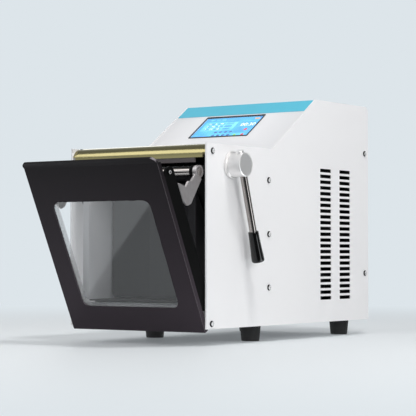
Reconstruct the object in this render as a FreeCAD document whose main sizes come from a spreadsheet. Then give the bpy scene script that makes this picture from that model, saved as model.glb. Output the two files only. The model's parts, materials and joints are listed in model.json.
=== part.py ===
import FreeCAD, Part
import math
import os

# Paddle blender: a white sheet-metal housing on four rubber feet, a tilting
# front door with a window, two paddles that beat a sample bag against it, and
# a lever on the right that draws the door shut with two hooks.
# While a piece is drawn, X = 0 is the middle, Y = 0 the front edge of the side
# panels and Z = 0 their lower edge. The door is drawn closed and is then turned
# to its open rest position, in which the latch and the lever are drawn.

V = FreeCAD.Vector

SIZES = {
    # Housing
    "body_width": 219.0,
    "body_depth": 411.6,
    "front_height": 234.2,
    "rear_height": 308.6,
    "slope_start": 152.1,
    "slope_end": 263.9,
    "panel_sheet": 2.0,
    "inner_sheet": 2.0,
    "cover_inset": 1.0,
    "panel_corner": 8.0,
    "flange_width": 16.0,
    "seat_gap": 0.1,
    "part_gap": 0.3,
    "running_gap": 0.05,
    "cut_overrun": 5.0,
    # Vents in the side panels
    "vent_length": 30.0,
    "vent_height": 4.9,
    "vent_pitch": 8.07,
    "vent_count": 23.0,
    "vent_lowest": 33.3,
    "vent_front_edge": 135.1,
    "vent_back_edge": 82.3,
    # Screws of the side panels
    "screw_radius": 2.0,
    "screw_head_radius": 4.1,
    "screw_head_height": 2.2,
    "screw_length": 6.0,
    "screw_front_low_back": 11.4,
    "screw_front_low_height": 6.6,
    "screw_nose_back": 13.6,
    "screw_nose_drop": 9.6,
    "screw_mid_back": 144.2,
    "screw_mid_low": 50.1,
    "screw_centre_drop": 113.5,
    "screw_high_drop": 42.0,
    "screw_rear_edge": 10.6,
    "screw_rear_low": 66.8,
    "screw_rear_drop": 68.6,
    # Feet
    "foot_height": 21.2,
    "foot_low_radius": 12.0,
    "foot_high_radius": 14.0,
    "foot_spread": 79.2,
    "foot_front": 145.5,
    "foot_back": 378.2,
    "foot_screw_radius": 2.5,
    "foot_head_radius": 4.5,
    "foot_head_height": 3.0,
    "foot_recess_depth": 7.0,
    "foot_recess_radius": 6.5,
    "foot_screw_rise": 6.0,
    # Nose profile over the door and the bar under it
    "nose_radius": 18.0,
    "nose_wall": 2.0,
    "nose_port_radius": 7.0,
    "nose_notch_rise": 6.0,
    "nose_screw_radius": 1.5,
    "nose_screw_head": 2.6,
    "nose_screw_head_height": 1.2,
    "nose_screw_length": 4.6,
    "nose_screw_back": 15.0,
    "nose_screw_inset": 4.5,
    "lintel_height": 6.2,
    "lintel_depth": 5.0,
    "lintel_half": 90.0,
    # Display and strip on the slope
    "screen_width": 95.7,
    "screen_length": 55.2,
    "screen_offset": -2.75,
    "screen_start": 43.3,
    "bezel_border": 1.6,
    "bezel_height": 1.0,
    "glass_height": 1.4,
    "module_height": 7.0,
    "board_width": 112.0,
    "board_length": 70.0,
    "board_sheet": 1.6,
    "standoff_height": 8.0,
    "standoff_radius": 3.0,
    "strip_start": 104.2,
    "strip_length": 29.8,
    "strip_height": 0.5,
    # Bag chamber
    "chamber_half": 80.0,
    "chamber_floor": 36.0,
    "chamber_ceiling": 188.0,
    "chamber_rear": 150.0,
    "liner_front": 2.9,
    "liner_wall": 2.0,
    "liner_rim_width": 8.0,
    "liner_rim_rise": 7.5,
    "liner_rim_low": 34.5,
    "skirt_front": 18.0,
    # Floor of the housing
    "sill_front": 15.0,
    "sill_height": 32.0,
    "sill_half": 102.4,
    "base_flange_height": 15.0,
    "base_flange_front": 9.2,
    "buffer_radius": 3.5,
    "buffer_reach": 6.0,
    "buffer_spread": 60.0,
    "buffer_height": 1.0,
    "supply_half": 70.0,
    "supply_front": 30.0,
    "supply_depth": 105.0,
    "supply_height": 29.0,
    # Door
    "door_tilt": 25.87,
    "hinge_back": 6.5,
    "hinge_height": 33.8,
    "hinge_radius": 4.0,
    "hinge_head_radius": 6.0,
    "hinge_head_height": 1.5,
    "door_face_depth": 20.49,
    "door_low_drop": 32.63,
    "door_half": 106.2,
    "door_length": 230.8,
    "door_sheet": 2.0,
    "door_flange": 7.0,
    "lip_length": 9.7,
    "lip_sheet": 3.0,
    "lip_angle": 27.0,
    "lip_corner": 8.0,
    "window_half": 77.5,
    "window_low": 34.0,
    "window_high": 183.0,
    "window_corner": 11.0,
    "pane_sheet": 4.0,
    "pane_overlap": 6.5,
    "gasket_width": 3.0,
    "seal_inset": 3.5,
    "seal_height": 10.5,
    "arm_sheet": 2.5,
    "arm_outer": 106.0,
    "arm_front": 7.0,
    "arm_rear": 28.0,
    "arm_below_hinge": 9.0,
    "arm_above_pin": 7.0,
    "arm_corner": 9.5,
    "pin_depth": 18.7,
    "pin_along": 211.5,
    "pin_radius": 3.0,
    "pin_inner": 99.6,
    "pin_head_radius": 4.1,
    "pin_head_height": 0.9,
    # Latch
    "lever_back": 55.8,
    "lever_drop": 25.9,
    "gear_distance": 92.0,
    "gear_lean": 5.9,
    "gear_module": 2.0,
    "gear_backlash": 0.5,
    "gear_addendum": 1.6,
    "gear_dedendum": 2.2,
    "latch_turn": 27.0,
    "rod_radius": 5.3,
    "rod_end": 103.1,
    "rod_ahead": 29.2,
    "rod_above": 14.4,
    "hook_inner": 99.9,
    "hook_sheet": 3.0,
    "hook_boss": 8.2,
    "hook_reach": 34.0,
    "sector_inner": 92.0,
    "sector_sheet": 5.0,
    "sector_boss": 9.0,
    "sector_arm": 6.0,
    "sector_root": 58.0,
    "pivot_radius": 5.0,
    "pivot_inner": 91.0,
    "pivot_collar_radius": 9.0,
    # Lever
    "shaft_radius": 6.0,
    "bush_radius": 9.0,
    "bush_length": 8.0,
    "bush_wall": 3.0,
    "hub_length": 23.0,
    "hub_radius": 15.5,
    "hub_base_radius": 17.4,
    "hub_base_length": 4.0,
    "hub_bevel": 1.0,
    "lever_lean": 17.3,
    "lever_reach": 16.0,
    "lever_rod_radius": 4.8,
    "lever_rod_proud": 18.5,
    "grip_start": 89.0,
    "grip_end": 130.0,
    "grip_low_radius": 6.65,
    "grip_high_radius": 8.45,
    "pinion_boss": 9.0,
    # Paddle drive
    "drive_height": 111.0,
    "stroke_half": 10.0,
    "paddle_centre": 39.0,
    "paddle_half": 38.2,
    "paddle_low": 38.0,
    "paddle_high": 186.0,
    "paddle_front": 38.0,
    "paddle_sheet": 12.0,
    "paddle_corner": 6.0,
    "guide_spread": 19.0,
    "guide_radius": 5.0,
    "guide_bush_radius": 9.0,
    "guide_bush_length": 20.0,
    "guide_bush_flange": 13.0,
    "guide_bush_flange_height": 3.0,
    "rod_seal_height": 4.0,
    "cross_front": 195.0,
    "cross_depth": 10.0,
    "cross_half_width": 27.0,
    "cross_half_height": 9.0,
    "lug_inner": 28.0,
    "lug_sheet": 5.0,
    "wrist_back": 245.0,
    "wrist_radius": 4.0,
    "wrist_length": 4.6,
    "rod_plane": 38.2,
    "rod_sheet": 6.0,
    "crank_back": 315.0,
    "small_eye": 9.0,
    "big_eye": 10.5,
    "rod_waist": 5.5,
    "crank_pin_radius": 5.0,
    "crank_shaft_radius": 7.0,
    "web_radius": 20.0,
    "web_sheet": 5.0,
    "web_gap": 0.6,
    "crank_right_end": 70.0,
    "crank_left_end": 87.0,
    "upright_inner": 58.0,
    "upright_sheet": 6.0,
    "upright_front": 290.0,
    "upright_back": 345.0,
    "upright_height": 135.0,
    "upright_foot": 14.0,
    "upright_foot_sheet": 4.0,
    "bearing_radius": 16.0,
    "bearing_half": 5.0,
    "motor_back": 365.0,
    "motor_height": 50.0,
    "motor_radius": 33.0,
    "motor_length": 98.0,
    "motor_shaft_radius": 5.0,
    "motor_cap": 6.0,
    "motor_bore": 12.0,
    "shaft_room": 1.0,
    "motor_plate_back": 402.0,
    "motor_plate_height": 90.0,
    "pulley_near": 70.0,
    "pulley_width": 14.0,
    "pulley_rim": 2.0,
    "pulley_flange": 2.5,
    "crank_pulley_radius": 36.0,
    "motor_pulley_radius": 14.0,
    "belt_sheet": 1.8,
    # Fan, inlet and switch at the back
    "fan_side": 60.0,
    "fan_depth": 15.0,
    "fan_bore": 28.0,
    "fan_hub": 11.0,
    "fan_blade_radius": 26.5,
    "fan_blade_sheet": 1.5,
    "fan_blade_width": 9.0,
    "fan_across": 40.0,
    "fan_drop": 53.6,
    "fan_boss": 6.0,
    "fan_spindle": 2.5,
    "fan_strut": 4.0,
    "guard_ring_width": 2.0,
    "guard_sheet": 2.0,
    "guard_pitch": 8.0,
    "inlet_across": 80.0,
    "inlet_half": 13.0,
    "inlet_low": 30.0,
    "inlet_high": 82.0,
    "inlet_depth": 26.0,
    "inlet_border": 2.5,
    "inlet_flange_height": 2.0,
    "socket_low": 34.0,
    "socket_high": 54.0,
    "socket_half": 11.0,
    "socket_depth": 17.0,
    "socket_pin_half": 1.2,
    "socket_pin_rise": 4.0,
    "socket_pin_spread": 6.0,
    "rocker_half_width": 7.0,
    "rocker_half_height": 9.5,
    "rocker_centre": 69.0,
    "rocker_depth": 9.0,
    "rocker_turn": 12.0,
    "rocker_room": 1.6,
    "rocker_behind": 3.0,
    "rocker_proud": 1.5,
    "trunnion_radius": 1.5,
    "trunnion_length": 1.5,
}

# Gear teeth: the counts fix the ratio between lever and latch
PINION_TEETH = 20
SECTOR_TEETH = 72
TOOTH_STEPS = 4
FLANK_ANGLE = math.radians(20)
FAN_BLADES = 7
FAN_PITCH = 35

doc = FreeCAD.newDocument("paddle_blender")
sheet = doc.addObject("Spreadsheet::Sheet", "Sizes")
for row, (word, number) in enumerate(SIZES.items(), 1):
    sheet.set("A%d" % row, word)
    sheet.set("B%d" % row, str(number))
    sheet.setAlias("B%d" % row, word)
doc.recompute()


class Size:
    """A number together with the spreadsheet expression that gives it."""

    def __init__(self, value, text):
        self.value = value
        self.text = text

    def __float__(self):
        return float(self.value)

    def __neg__(self):
        return Size(-self.value, "(-%s)" % self.text)

    def __add__(self, other):
        return joined(self, "+", other, float(self) + float(other))

    def __radd__(self, other):
        return joined(other, "+", self, float(self) + float(other))

    def __sub__(self, other):
        return joined(self, "-", other, float(self) - float(other))

    def __rsub__(self, other):
        return joined(other, "-", self, float(other) - float(self))

    def __mul__(self, other):
        return joined(self, "*", other, float(self) * float(other))

    def __rmul__(self, other):
        return joined(other, "*", self, float(self) * float(other))

    def __truediv__(self, other):
        return joined(self, "/", other, float(self) / float(other))

    def __lt__(self, other):
        return float(self) < float(other)


def words(size):
    """The expression text of a size or a plain number."""
    return size.text if isinstance(size, Size) else repr(float(size))


def joined(left, sign, right, value):
    """A new size made of two others."""
    return Size(value, "(%s %s %s)" % (words(left), sign, words(right)))


class Sheet:
    """The spreadsheet's cells, read by alias."""

    def __getattr__(self, word):
        return Size(float(sheet.get(word)), "Sizes." + word)


d = Sheet()


def bind(feature, name, size):
    """Tie one property of a feature to the spreadsheet."""
    feature.setExpression(name, words(size))


def spin(point, centre, degrees):
    """A (y, z) point turned about another, from +Y towards +Z."""
    turn = math.radians(degrees)
    y, z = float(point[0]) - float(centre[0]), float(point[1]) - float(centre[1])
    return (float(centre[0]) + y * math.cos(turn) - z * math.sin(turn),
            float(centre[1]) + y * math.sin(turn) + z * math.cos(turn))


# Places that several pieces share
half_width = d.body_width / 2
panel_in = half_width - d.panel_sheet
inside = panel_in - d.seat_gap
flange_in = inside - d.inner_sheet
door_face = d.hinge_back - d.door_face_depth
door_low = d.hinge_height - d.door_low_drop
door_top = door_low + d.door_length
pin_place = (door_face + d.pin_depth, door_low + d.pin_along)
hinge_place = (d.hinge_back, d.hinge_height)
lever_height = d.front_height - d.lever_drop
lever_place = (d.lever_back, lever_height)
lean = math.radians(float(d.gear_lean))
pivot_place = (d.lever_back - d.gear_distance * math.sin(lean),
               lever_height - d.gear_distance * math.cos(lean))
nose_low = d.front_height - d.nose_radius
cover_top = d.front_height - d.cover_inset
rear_face = d.body_depth - d.cover_inset
rear_in = rear_face - d.inner_sheet
roof_under = d.rear_height - d.cover_inset - d.inner_sheet
fan_height = d.rear_height - d.fan_drop
slope_run = float(d.slope_end - d.slope_start)
slope_rise = float(d.rear_height - d.front_height)
slope_angle = math.degrees(math.atan2(slope_rise, slope_run))

HERE = FreeCAD.Placement()
SLOPE = FreeCAD.Placement(V(0, float(d.slope_start), float(cover_top)),
                          FreeCAD.Rotation(V(1, 0, 0), slope_angle))


def turned_about(place, degrees):
    """The placement that turns a piece about an axis along X."""
    centre = V(0, float(place[0]), float(place[1]))
    return FreeCAD.Placement(V(), FreeCAD.Rotation(V(1, 0, 0), float(degrees)), centre)


DOOR = turned_about(hinge_place, d.door_tilt)

parts = {}


def keep(name, feature, place=HERE):
    """Make a feature a sub-part: its Label names its file."""
    feature.Label = name
    feature.Placement = place * feature.Placement
    parts[name] = feature


# Solids

ALONG = {"x": FreeCAD.Rotation(V(0, 1, 0), 90),
         "y": FreeCAD.Rotation(V(1, 0, 0), -90),
         "z": FreeCAD.Rotation()}


def place_bound(feature, axis, low, across):
    """Put a round solid's start at low on its axis, bound to the sheet."""
    feature.Placement = FreeCAD.Placement(V(), ALONG[axis])
    across = list(across)
    for name in "xyz":
        bind(feature, ".Placement.Base." + name, low if name == axis else across.pop(0))


def box(x, y, z):
    """A box between pairs of sizes."""
    feature = doc.addObject("Part::Box", "block")
    for side, (low, high) in zip(("Length", "Width", "Height"), (x, y, z)):
        bind(feature, side, high - low)
    for name, (low, high) in zip("xyz", (x, y, z)):
        bind(feature, ".Placement.Base." + name, low)
    return feature


def cylinder(axis, span, across, radius):
    """A cylinder along an axis, between two sizes."""
    feature = doc.addObject("Part::Cylinder", "round")
    bind(feature, "Radius", radius)
    bind(feature, "Height", span[1] - span[0])
    place_bound(feature, axis, span[0], across)
    return feature


def cone(axis, span, across, radii):
    """A cone along an axis, with its first and last radius."""
    feature = doc.addObject("Part::Cone", "taper")
    bind(feature, "Radius1", radii[0])
    bind(feature, "Radius2", radii[1])
    bind(feature, "Height", span[1] - span[0])
    place_bound(feature, axis, span[0], across)
    return feature


def fuse(pieces):
    """One solid from several that meet."""
    feature = doc.addObject("Part::MultiFuse", "joined")
    feature.Shapes = list(pieces)
    feature.Refine = True
    return feature


def cut(base, tools):
    """A solid less others."""
    feature = doc.addObject("Part::Cut", "cut")
    feature.Base = base
    feature.Tool = tools[0] if len(tools) == 1 else fuse(tools)
    return feature


def group(pieces):
    """Separate solids in one sub-part."""
    feature = doc.addObject("Part::Compound", "set")
    feature.Links = list(pieces)
    return feature


def mirrored(side, low, high):
    """A span on the right (side 1) or its mirror image on the left (side -1)."""
    return (low, high) if side > 0 else (-high, -low)


# Profiles

def rounded(outline):
    """Lines and arcs through points; a third number rounds the corner."""
    corners = []
    count = len(outline)
    for index, point in enumerate(outline):
        here = V(float(point[0]), float(point[1]), 0)
        radius = float(point[2]) if len(point) > 2 else 0
        if not radius:
            corners.append((here,))
            continue
        before = outline[index - 1]
        after = outline[(index + 1) % count]
        back = (V(float(before[0]), float(before[1]), 0) - here).normalize()
        ahead = (V(float(after[0]), float(after[1]), 0) - here).normalize()
        half = back.getAngle(ahead) / 2
        reach = radius / math.tan(half)
        middle = (back + ahead).normalize()
        depth = radius / math.sin(half) - radius
        corners.append((here + back * reach, here + middle * depth, here + ahead * reach))
    edges = []
    for index, corner in enumerate(corners):
        if len(corner) == 3:
            edges.append(Part.Arc(*corner))
        start, end = corner[-1], corners[(index + 1) % count][0]
        if (end - start).Length > 1e-6:
            edges.append(Part.LineSegment(start, end))
    return edges


def round_hole(a, b, radius):
    """A circle in a sketch."""
    return [Part.Circle(V(float(a), float(b), 0), V(0, 0, 1), float(radius))]


def rectangle(a, b, corner=0):
    """A rectangle between two pairs of sizes, with rounded corners."""
    return rounded([(a[0], b[0], corner), (a[1], b[0], corner),
                    (a[1], b[1], corner), (a[0], b[1], corner)])


def sketch_on(body, role, offset, edges):
    """A sketch on one of the body's own origin planes."""
    sketch = body.newObject("Sketcher::SketchObject", "outline")
    plane = [item for item in body.Origin.OriginFeatures if item.Role == role][0]
    sketch.AttachmentSupport = [(plane, "")]
    sketch.MapMode = "FlatFace"
    bind(sketch, ".AttachmentOffset.Base.z", offset)
    sketch.addGeometry(edges, False)
    return sketch


PLANES = {"x": "YZ_Plane", "y": "XZ_Plane", "z": "XY_Plane"}


def middle_of(axis, span):
    """How far a sketch plane moves to lie in the middle of a span."""
    centre = (span[0] + span[1]) / 2
    return -centre if axis == "y" else centre


def plate(axis, span, edges):
    """A body padded from a profile, along an axis, between two sizes."""
    body = doc.addObject("PartDesign::Body", "body")
    pad = body.newObject("PartDesign::Pad", "pad")
    pad.Profile = (sketch_on(body, PLANES[axis], middle_of(axis, span), edges), [""])
    pad.Midplane = True
    bind(pad, "Length", span[1] - span[0])
    body.Tip = pad
    return body


def pocket(body, axis, span, edges):
    """Cut a profile out of a body, along an axis, between two sizes."""
    sketch = sketch_on(body, PLANES[axis], middle_of(axis, span), edges)
    hollow = body.newObject("PartDesign::Pocket", "pocket")
    hollow.Profile = (sketch, [""])
    hollow.Midplane = True
    bind(hollow, "Length", span[1] - span[0])
    body.Tip = hollow
    return hollow


def lathe(axis, centre, profile):
    """A solid turned about X or Y: profile holds (place on axis, radius)."""
    first = V(1, 0, 0) if axis == "x" else V(0, 1, 0)
    out = V(0, 0, 1)
    points = [V(centre) + first * float(a) + out * float(radius) for a, radius in profile]
    wire = Part.makePolygon(points + points[:1])
    feature = doc.addObject("Part::Feature", "turned")
    feature.Shape = Part.Face(wire).revolve(V(centre), first, 360)
    return feature


def ring_plate(axis, span, outer, inner):
    """A flat frame between two outlines."""
    return plate(axis, span, outer + inner)


def worked(word, number):
    """Write a worked-out place into the spreadsheet and hand it back."""
    row = len(SIZES) + len(WORKED) + 1
    WORKED.append(word)
    sheet.set("A%d" % row, word)
    sheet.set("B%d" % row, repr(float(number)))
    sheet.setAlias("B%d" % row, word)
    doc.recompute()
    return Size(float(number), "Sizes." + word)


WORKED = []
seat = spin(pin_place, pivot_place, d.latch_turn)
rod_place = (worked("rod_rest_back", seat[0] + float(d.rod_ahead)),
             worked("rod_rest_height", seat[1] + float(d.rod_above)))


# Housing

PANEL_SCREWS = [
    (d.screw_front_low_back, d.screw_front_low_height),
    (d.screw_nose_back, d.front_height - d.screw_nose_drop),
    (d.screw_mid_back, d.screw_mid_low),
    (d.screw_mid_back, d.front_height - d.screw_centre_drop),
    (d.screw_mid_back, d.front_height - d.screw_high_drop),
    (d.body_depth - d.screw_rear_edge, d.screw_rear_low),
    (d.body_depth - d.screw_rear_edge, d.rear_height - d.screw_rear_drop),
]
screw_hole = d.screw_radius + d.running_gap


def side_panel(name, side):
    """A flat side panel with its screw holes and two columns of vents."""
    edges = rounded([(0, 0), (d.body_depth, 0),
                     (d.body_depth, d.rear_height, d.panel_corner),
                     (d.slope_end, d.rear_height), (d.slope_start, d.front_height),
                     (0, d.front_height)])
    for back, height in PANEL_SCREWS:
        edges += round_hole(back, height, screw_hole)
    if side > 0:
        edges += round_hole(*lever_place, d.shaft_radius + d.bush_wall + d.running_gap)
    span = mirrored(side, panel_in, half_width)
    body = plate("x", span, edges)
    doc.recompute()
    plain = body.Shape.Volume
    slots = []
    for edge in (d.vent_front_edge, d.vent_back_edge):
        back = d.body_depth - edge
        slots += rectangle((back, back + d.vent_length),
                           (d.vent_lowest - d.vent_height / 2, d.vent_lowest + d.vent_height / 2))
    through = (span[0] - d.cut_overrun, span[1] + d.cut_overrun)
    slot = pocket(body, "x", through, slots)
    rows = body.newObject("PartDesign::LinearPattern", "vents")
    rows.Originals = [slot]
    upright = [item for item in body.Origin.OriginFeatures if item.Role == "Z_Axis"][0]
    rows.Direction = (upright, [""])
    bind(rows, "Length", (d.vent_count - 1) * d.vent_pitch)
    bind(rows, "Occurrences", d.vent_count)
    body.Tip = rows
    doc.recompute()
    removed = plain - body.Shape.Volume
    wanted = 2 * float(d.vent_count * d.vent_length * d.vent_height * d.panel_sheet)
    print(name, "vents remove", round(removed), "of", round(wanted), "cubic mm")
    keep(name, body)


def base_plate():
    """The floor of the housing, its front sill and its two side flanges."""
    floor = box((-inside, inside), (d.sill_front, rear_in), (0, d.inner_sheet))
    sill = box((-d.sill_half, d.sill_half), (d.sill_front, d.sill_front + d.inner_sheet),
               (0, d.sill_height))
    flanges = [box(mirrored(side, flange_in, inside),
                   (d.base_flange_front, rear_in - d.flange_width - d.part_gap),
                   (0, d.base_flange_height)) for side in (1, -1)]
    holes = [cylinder("x", (-half_width, half_width), PANEL_SCREWS[0], screw_hole)]
    holes += [cylinder("z", (-d.cut_overrun, d.cut_overrun), place,
                       d.foot_screw_radius + d.running_gap) for place in foot_places()]
    keep("base_plate", cut(fuse([floor, sill] + flanges), holes))


def foot_places():
    """The middles of the four feet."""
    return [(side * d.foot_spread, back) for side in (1, -1)
            for back in (d.foot_front, d.foot_back)]


def feet():
    """Four tapered rubber feet, each with a recess for its screw."""
    recess_top = d.foot_recess_depth - d.foot_height
    rubber, screws = [], []
    for place in foot_places():
        taper = cone("z", (-d.foot_height, 0), place,
                     (d.foot_low_radius, d.foot_high_radius))
        bore = cylinder("z", (-d.foot_height - d.cut_overrun, d.cut_overrun), place,
                        d.foot_screw_radius + d.running_gap)
        recess = cylinder("z", (-d.foot_height - d.cut_overrun, recess_top), place,
                          d.foot_recess_radius)
        rubber.append(cut(taper, [bore, recess]))
        head = cylinder("z", (recess_top - d.foot_head_height, recess_top), place,
                        d.foot_head_radius)
        shank = cylinder("z", (recess_top, d.foot_screw_rise), place, d.foot_screw_radius)
        screws.append(fuse([head, shank]))
    keep("rubber_feet", group(rubber))
    keep("foot_screws", group(screws))


def panel_screws():
    """The pan-head screws that hold the side panels to the flanges."""
    screws = []
    for side in (1, -1):
        for place in PANEL_SCREWS:
            head = cylinder("x", mirrored(side, half_width, half_width + d.screw_head_height),
                            place, d.screw_head_radius)
            shank = cylinder("x", mirrored(side, half_width - d.screw_length, half_width),
                             place, d.screw_radius)
            screws.append(fuse([head, shank]))
    keep("panel_screws", group(screws))


def bulkhead():
    """The upright sheet behind the chamber, with a flange at each side."""
    front = d.chamber_rear + d.liner_wall
    top = cover_top - d.inner_sheet - d.seat_gap
    web = box((-flange_in, flange_in), (front, front + d.inner_sheet), (d.inner_sheet, top))
    above = d.base_flange_height + d.part_gap
    ears = [box(mirrored(side, flange_in, inside),
                (front + d.inner_sheet - d.flange_width, front + d.inner_sheet),
                (above, top)) for side in (1, -1)]
    holes = [cylinder("x", (-half_width, half_width), place, screw_hole)
             for place in PANEL_SCREWS[2:5]]
    holes += guide_holes((front - d.cut_overrun, front + d.cut_overrun))
    keep("bulkhead", cut(fuse([web] + ears), holes))


def guide_places():
    """Where the four guide rods pass the rear of the chamber."""
    return [(side * (d.paddle_centre + turn * d.guide_spread), d.drive_height)
            for side in (1, -1) for turn in (1, -1)]


def guide_holes(span):
    """Cutters for the guide bushes."""
    return [cylinder("y", span, place, d.guide_bush_radius + d.running_gap)
            for place in guide_places()]


def rear_panel():
    """The rear sheet with openings for the fan and the mains inlet."""
    sheet_back = box((-inside, inside), (rear_in, rear_face), (d.inner_sheet, roof_under))
    flanges = [box(mirrored(side, flange_in, inside), (rear_in - d.flange_width, rear_in),
                   (d.inner_sheet, roof_under)) for side in (1, -1)]
    through = (rear_in - d.cut_overrun, rear_face + d.cut_overrun)
    holes = [cylinder("x", (-half_width, half_width), place, screw_hole)
             for place in PANEL_SCREWS[5:]]
    holes.append(cylinder("y", through, (d.fan_across, fan_height), d.fan_bore))
    slack = d.inlet_half + d.seat_gap
    holes.append(box((d.inlet_across - slack, d.inlet_across + slack), through,
                     (d.inlet_low - d.seat_gap, d.inlet_high + d.seat_gap)))
    keep("rear_panel", cut(fuse([sheet_back] + flanges), holes))


def screen_span(margin):
    """The display's outline on the slope, grown by a margin."""
    low = d.screen_offset - d.screen_width / 2 - margin
    high = d.screen_offset + d.screen_width / 2 + margin
    return (low, high), (d.screen_start - margin, d.screen_start + d.screen_length + margin)


def top_cover():
    """The bent sheet of the flat front, the slope and the raised top."""
    bend = float(d.inner_sheet) * math.tan(math.radians(slope_angle / 2))
    roof = d.rear_height - d.cover_inset
    under = cover_top - d.inner_sheet
    edges = rounded([(d.nose_radius, cover_top), (d.slope_start, cover_top),
                     (d.slope_end, roof), (rear_face, roof), (rear_face, roof_under),
                     (d.slope_end + bend, roof_under), (d.slope_start + bend, under),
                     (d.nose_radius, under)])
    across, along = screen_span(d.bezel_border / 2)
    opening = group([box(across, along, (-d.inner_sheet - d.cut_overrun, d.cut_overrun))])
    opening.Placement = SLOPE
    keep("top_cover", cut(plate("x", (-inside, inside), edges), [opening]))


def nose_profile():
    """The quarter-round profile over the door, with a screw port inside it."""
    outer, inner = d.front_height, d.front_height - d.nose_wall
    ring = plate("x", (-inside, inside), rounded([
        (0, nose_low), (0, outer, d.nose_radius), (d.nose_radius, outer),
        (d.nose_radius, inner), (d.nose_wall, inner, d.nose_radius - d.nose_wall),
        (d.nose_wall, nose_low)]))
    port = cylinder("x", (-inside, inside), PANEL_SCREWS[1], d.nose_port_radius)
    cutters = [cylinder("x", (-half_width, half_width), PANEL_SCREWS[1], screw_hole)]
    arm_inner = d.arm_outer - d.arm_sheet
    for side in (1, -1):
        cutters.append(box(mirrored(side, arm_inner - d.part_gap, half_width),
                           (-d.cut_overrun, 2 * d.nose_wall + d.part_gap),
                           (nose_low - d.cut_overrun, nose_low + d.nose_notch_rise)))
        place = (side * (panel_in - d.nose_screw_inset), d.nose_screw_back)
        top = d.front_height + d.cut_overrun
        head_low = d.front_height - d.part_gap - d.nose_screw_head_height
        cutters.append(cylinder("z", (head_low, top), place, d.nose_screw_head + d.part_gap))
        cutters.append(cylinder("z", (head_low - d.nose_screw_length - d.part_gap, top), place,
                                d.nose_screw_radius + d.running_gap))
    keep("nose_profile", cut(fuse([ring, port]), cutters))


def nose_screws():
    """Two small dark screws sunk into the top of the nose."""
    screws = []
    head_top = d.front_height - d.part_gap
    head_low = head_top - d.nose_screw_head_height
    for side in (1, -1):
        place = (side * (panel_in - d.nose_screw_inset), d.nose_screw_back)
        head = cylinder("z", (head_low, head_top), place, d.nose_screw_head)
        shank = cylinder("z", (head_low - d.nose_screw_length, head_low), place,
                         d.nose_screw_radius)
        screws.append(fuse([head, shank]))
    keep("nose_screws", group(screws))


def lintel():
    """The dark bar under the nose."""
    bar = box((-d.lintel_half, d.lintel_half), (d.part_gap, d.lintel_depth),
              (nose_low - d.lintel_height, nose_low))
    keep("lintel", group([bar]))


def display():
    """The bezel, glass, module and control board on the slope."""
    across, along = screen_span(d.bezel_border)
    view = screen_span(0)
    bezel = ring_plate("z", (0, d.bezel_height),
                       rectangle(across, along, d.bezel_border / 2), rectangle(*view))
    keep("display_bezel", bezel, SLOPE)
    across, along = screen_span(d.bezel_border / 2 - d.seat_gap)
    glass = box(across, along, (-d.glass_height, 0))
    keep("display_glass", group([glass]), SLOPE)
    low = -d.glass_height - d.module_height
    keep("display_module", group([box(across, along, (low, -d.glass_height))]), SLOPE)
    board_low = low - d.standoff_height
    middle = d.screen_start + d.screen_length / 2
    board = [box((d.screen_offset - d.board_width / 2, d.screen_offset + d.board_width / 2),
                 (middle - d.board_length / 2, middle + d.board_length / 2),
                 (board_low - d.board_sheet, board_low))]
    reach = (d.screen_width / 2 - d.standoff_radius, d.screen_length / 2 - d.standoff_radius)
    for side in (1, -1):
        for end in (1, -1):
            board.append(cylinder("z", (board_low, low),
                                  (d.screen_offset + side * reach[0], middle + end * reach[1]),
                                  d.standoff_radius))
    keep("control_board", fuse(board), SLOPE)


def label_strip():
    """The bare coloured strip across the top of the slope."""
    strip = box((d.part_gap - inside, inside - d.part_gap),
                (d.strip_start, d.strip_start + d.strip_length), (0, d.strip_height))
    keep("label_strip", group([strip]), SLOPE)


def chamber_liner():
    """The bag chamber: an open box with a rim for the seal and two skirts."""
    outer = d.chamber_half + d.liner_wall
    rim = outer + d.liner_rim_width
    front, back = d.liner_front, d.chamber_rear + d.liner_wall
    solid = [box((-outer, outer), (front, back),
                 (d.chamber_floor - d.liner_wall, d.chamber_ceiling + d.liner_wall)),
             box((-rim, rim), (front, front + d.liner_wall),
                 (d.liner_rim_low, d.chamber_ceiling + d.liner_rim_rise))]
    for side in (1, -1):
        solid.append(box(mirrored(side, d.chamber_half, outer),
                         (d.skirt_front, d.foot_front - d.foot_low_radius),
                         (d.inner_sheet, d.chamber_floor)))
    hollow = [box((-d.chamber_half, d.chamber_half), (front - d.cut_overrun, d.chamber_rear),
                  (d.chamber_floor, d.chamber_ceiling))]
    hollow += guide_holes((d.chamber_rear - d.cut_overrun, back + d.cut_overrun))
    keep("chamber_liner", cut(fuse(solid), hollow))


def guide_bushes():
    """Four flanged bushes for the guide rods, and a seal before each."""
    bushes, seals = [], []
    rear = d.chamber_rear + d.liner_wall + d.inner_sheet
    for place in guide_places():
        body = cylinder("y", (d.chamber_rear, d.chamber_rear + d.guide_bush_length), place,
                        d.guide_bush_radius)
        flange = cylinder("y", (rear, rear + d.guide_bush_flange_height), place,
                          d.guide_bush_flange)
        bore = cylinder("y", (d.chamber_rear - d.cut_overrun,
                              d.chamber_rear + d.guide_bush_length + d.cut_overrun),
                        place, d.guide_radius + d.running_gap)
        bushes.append(cut(fuse([body, flange]), [bore]))
        ring = cylinder("y", (d.chamber_rear - d.rod_seal_height, d.chamber_rear), place,
                        d.guide_bush_flange)
        opening = cylinder("y", (d.chamber_rear - d.rod_seal_height - d.cut_overrun,
                                 d.chamber_rear + d.cut_overrun),
                           place, d.guide_radius + d.running_gap)
        seals.append(cut(ring, [opening]))
    keep("guide_bushes", group(bushes))
    keep("rod_seals", group(seals))


def power_supply():
    """The switch-mode supply on the floor under the chamber."""
    case = box((-d.supply_half, d.supply_half), (d.supply_front, d.supply_front + d.supply_depth),
               (d.inner_sheet, d.inner_sheet + d.supply_height))
    keep("power_supply", group([case]))


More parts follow.
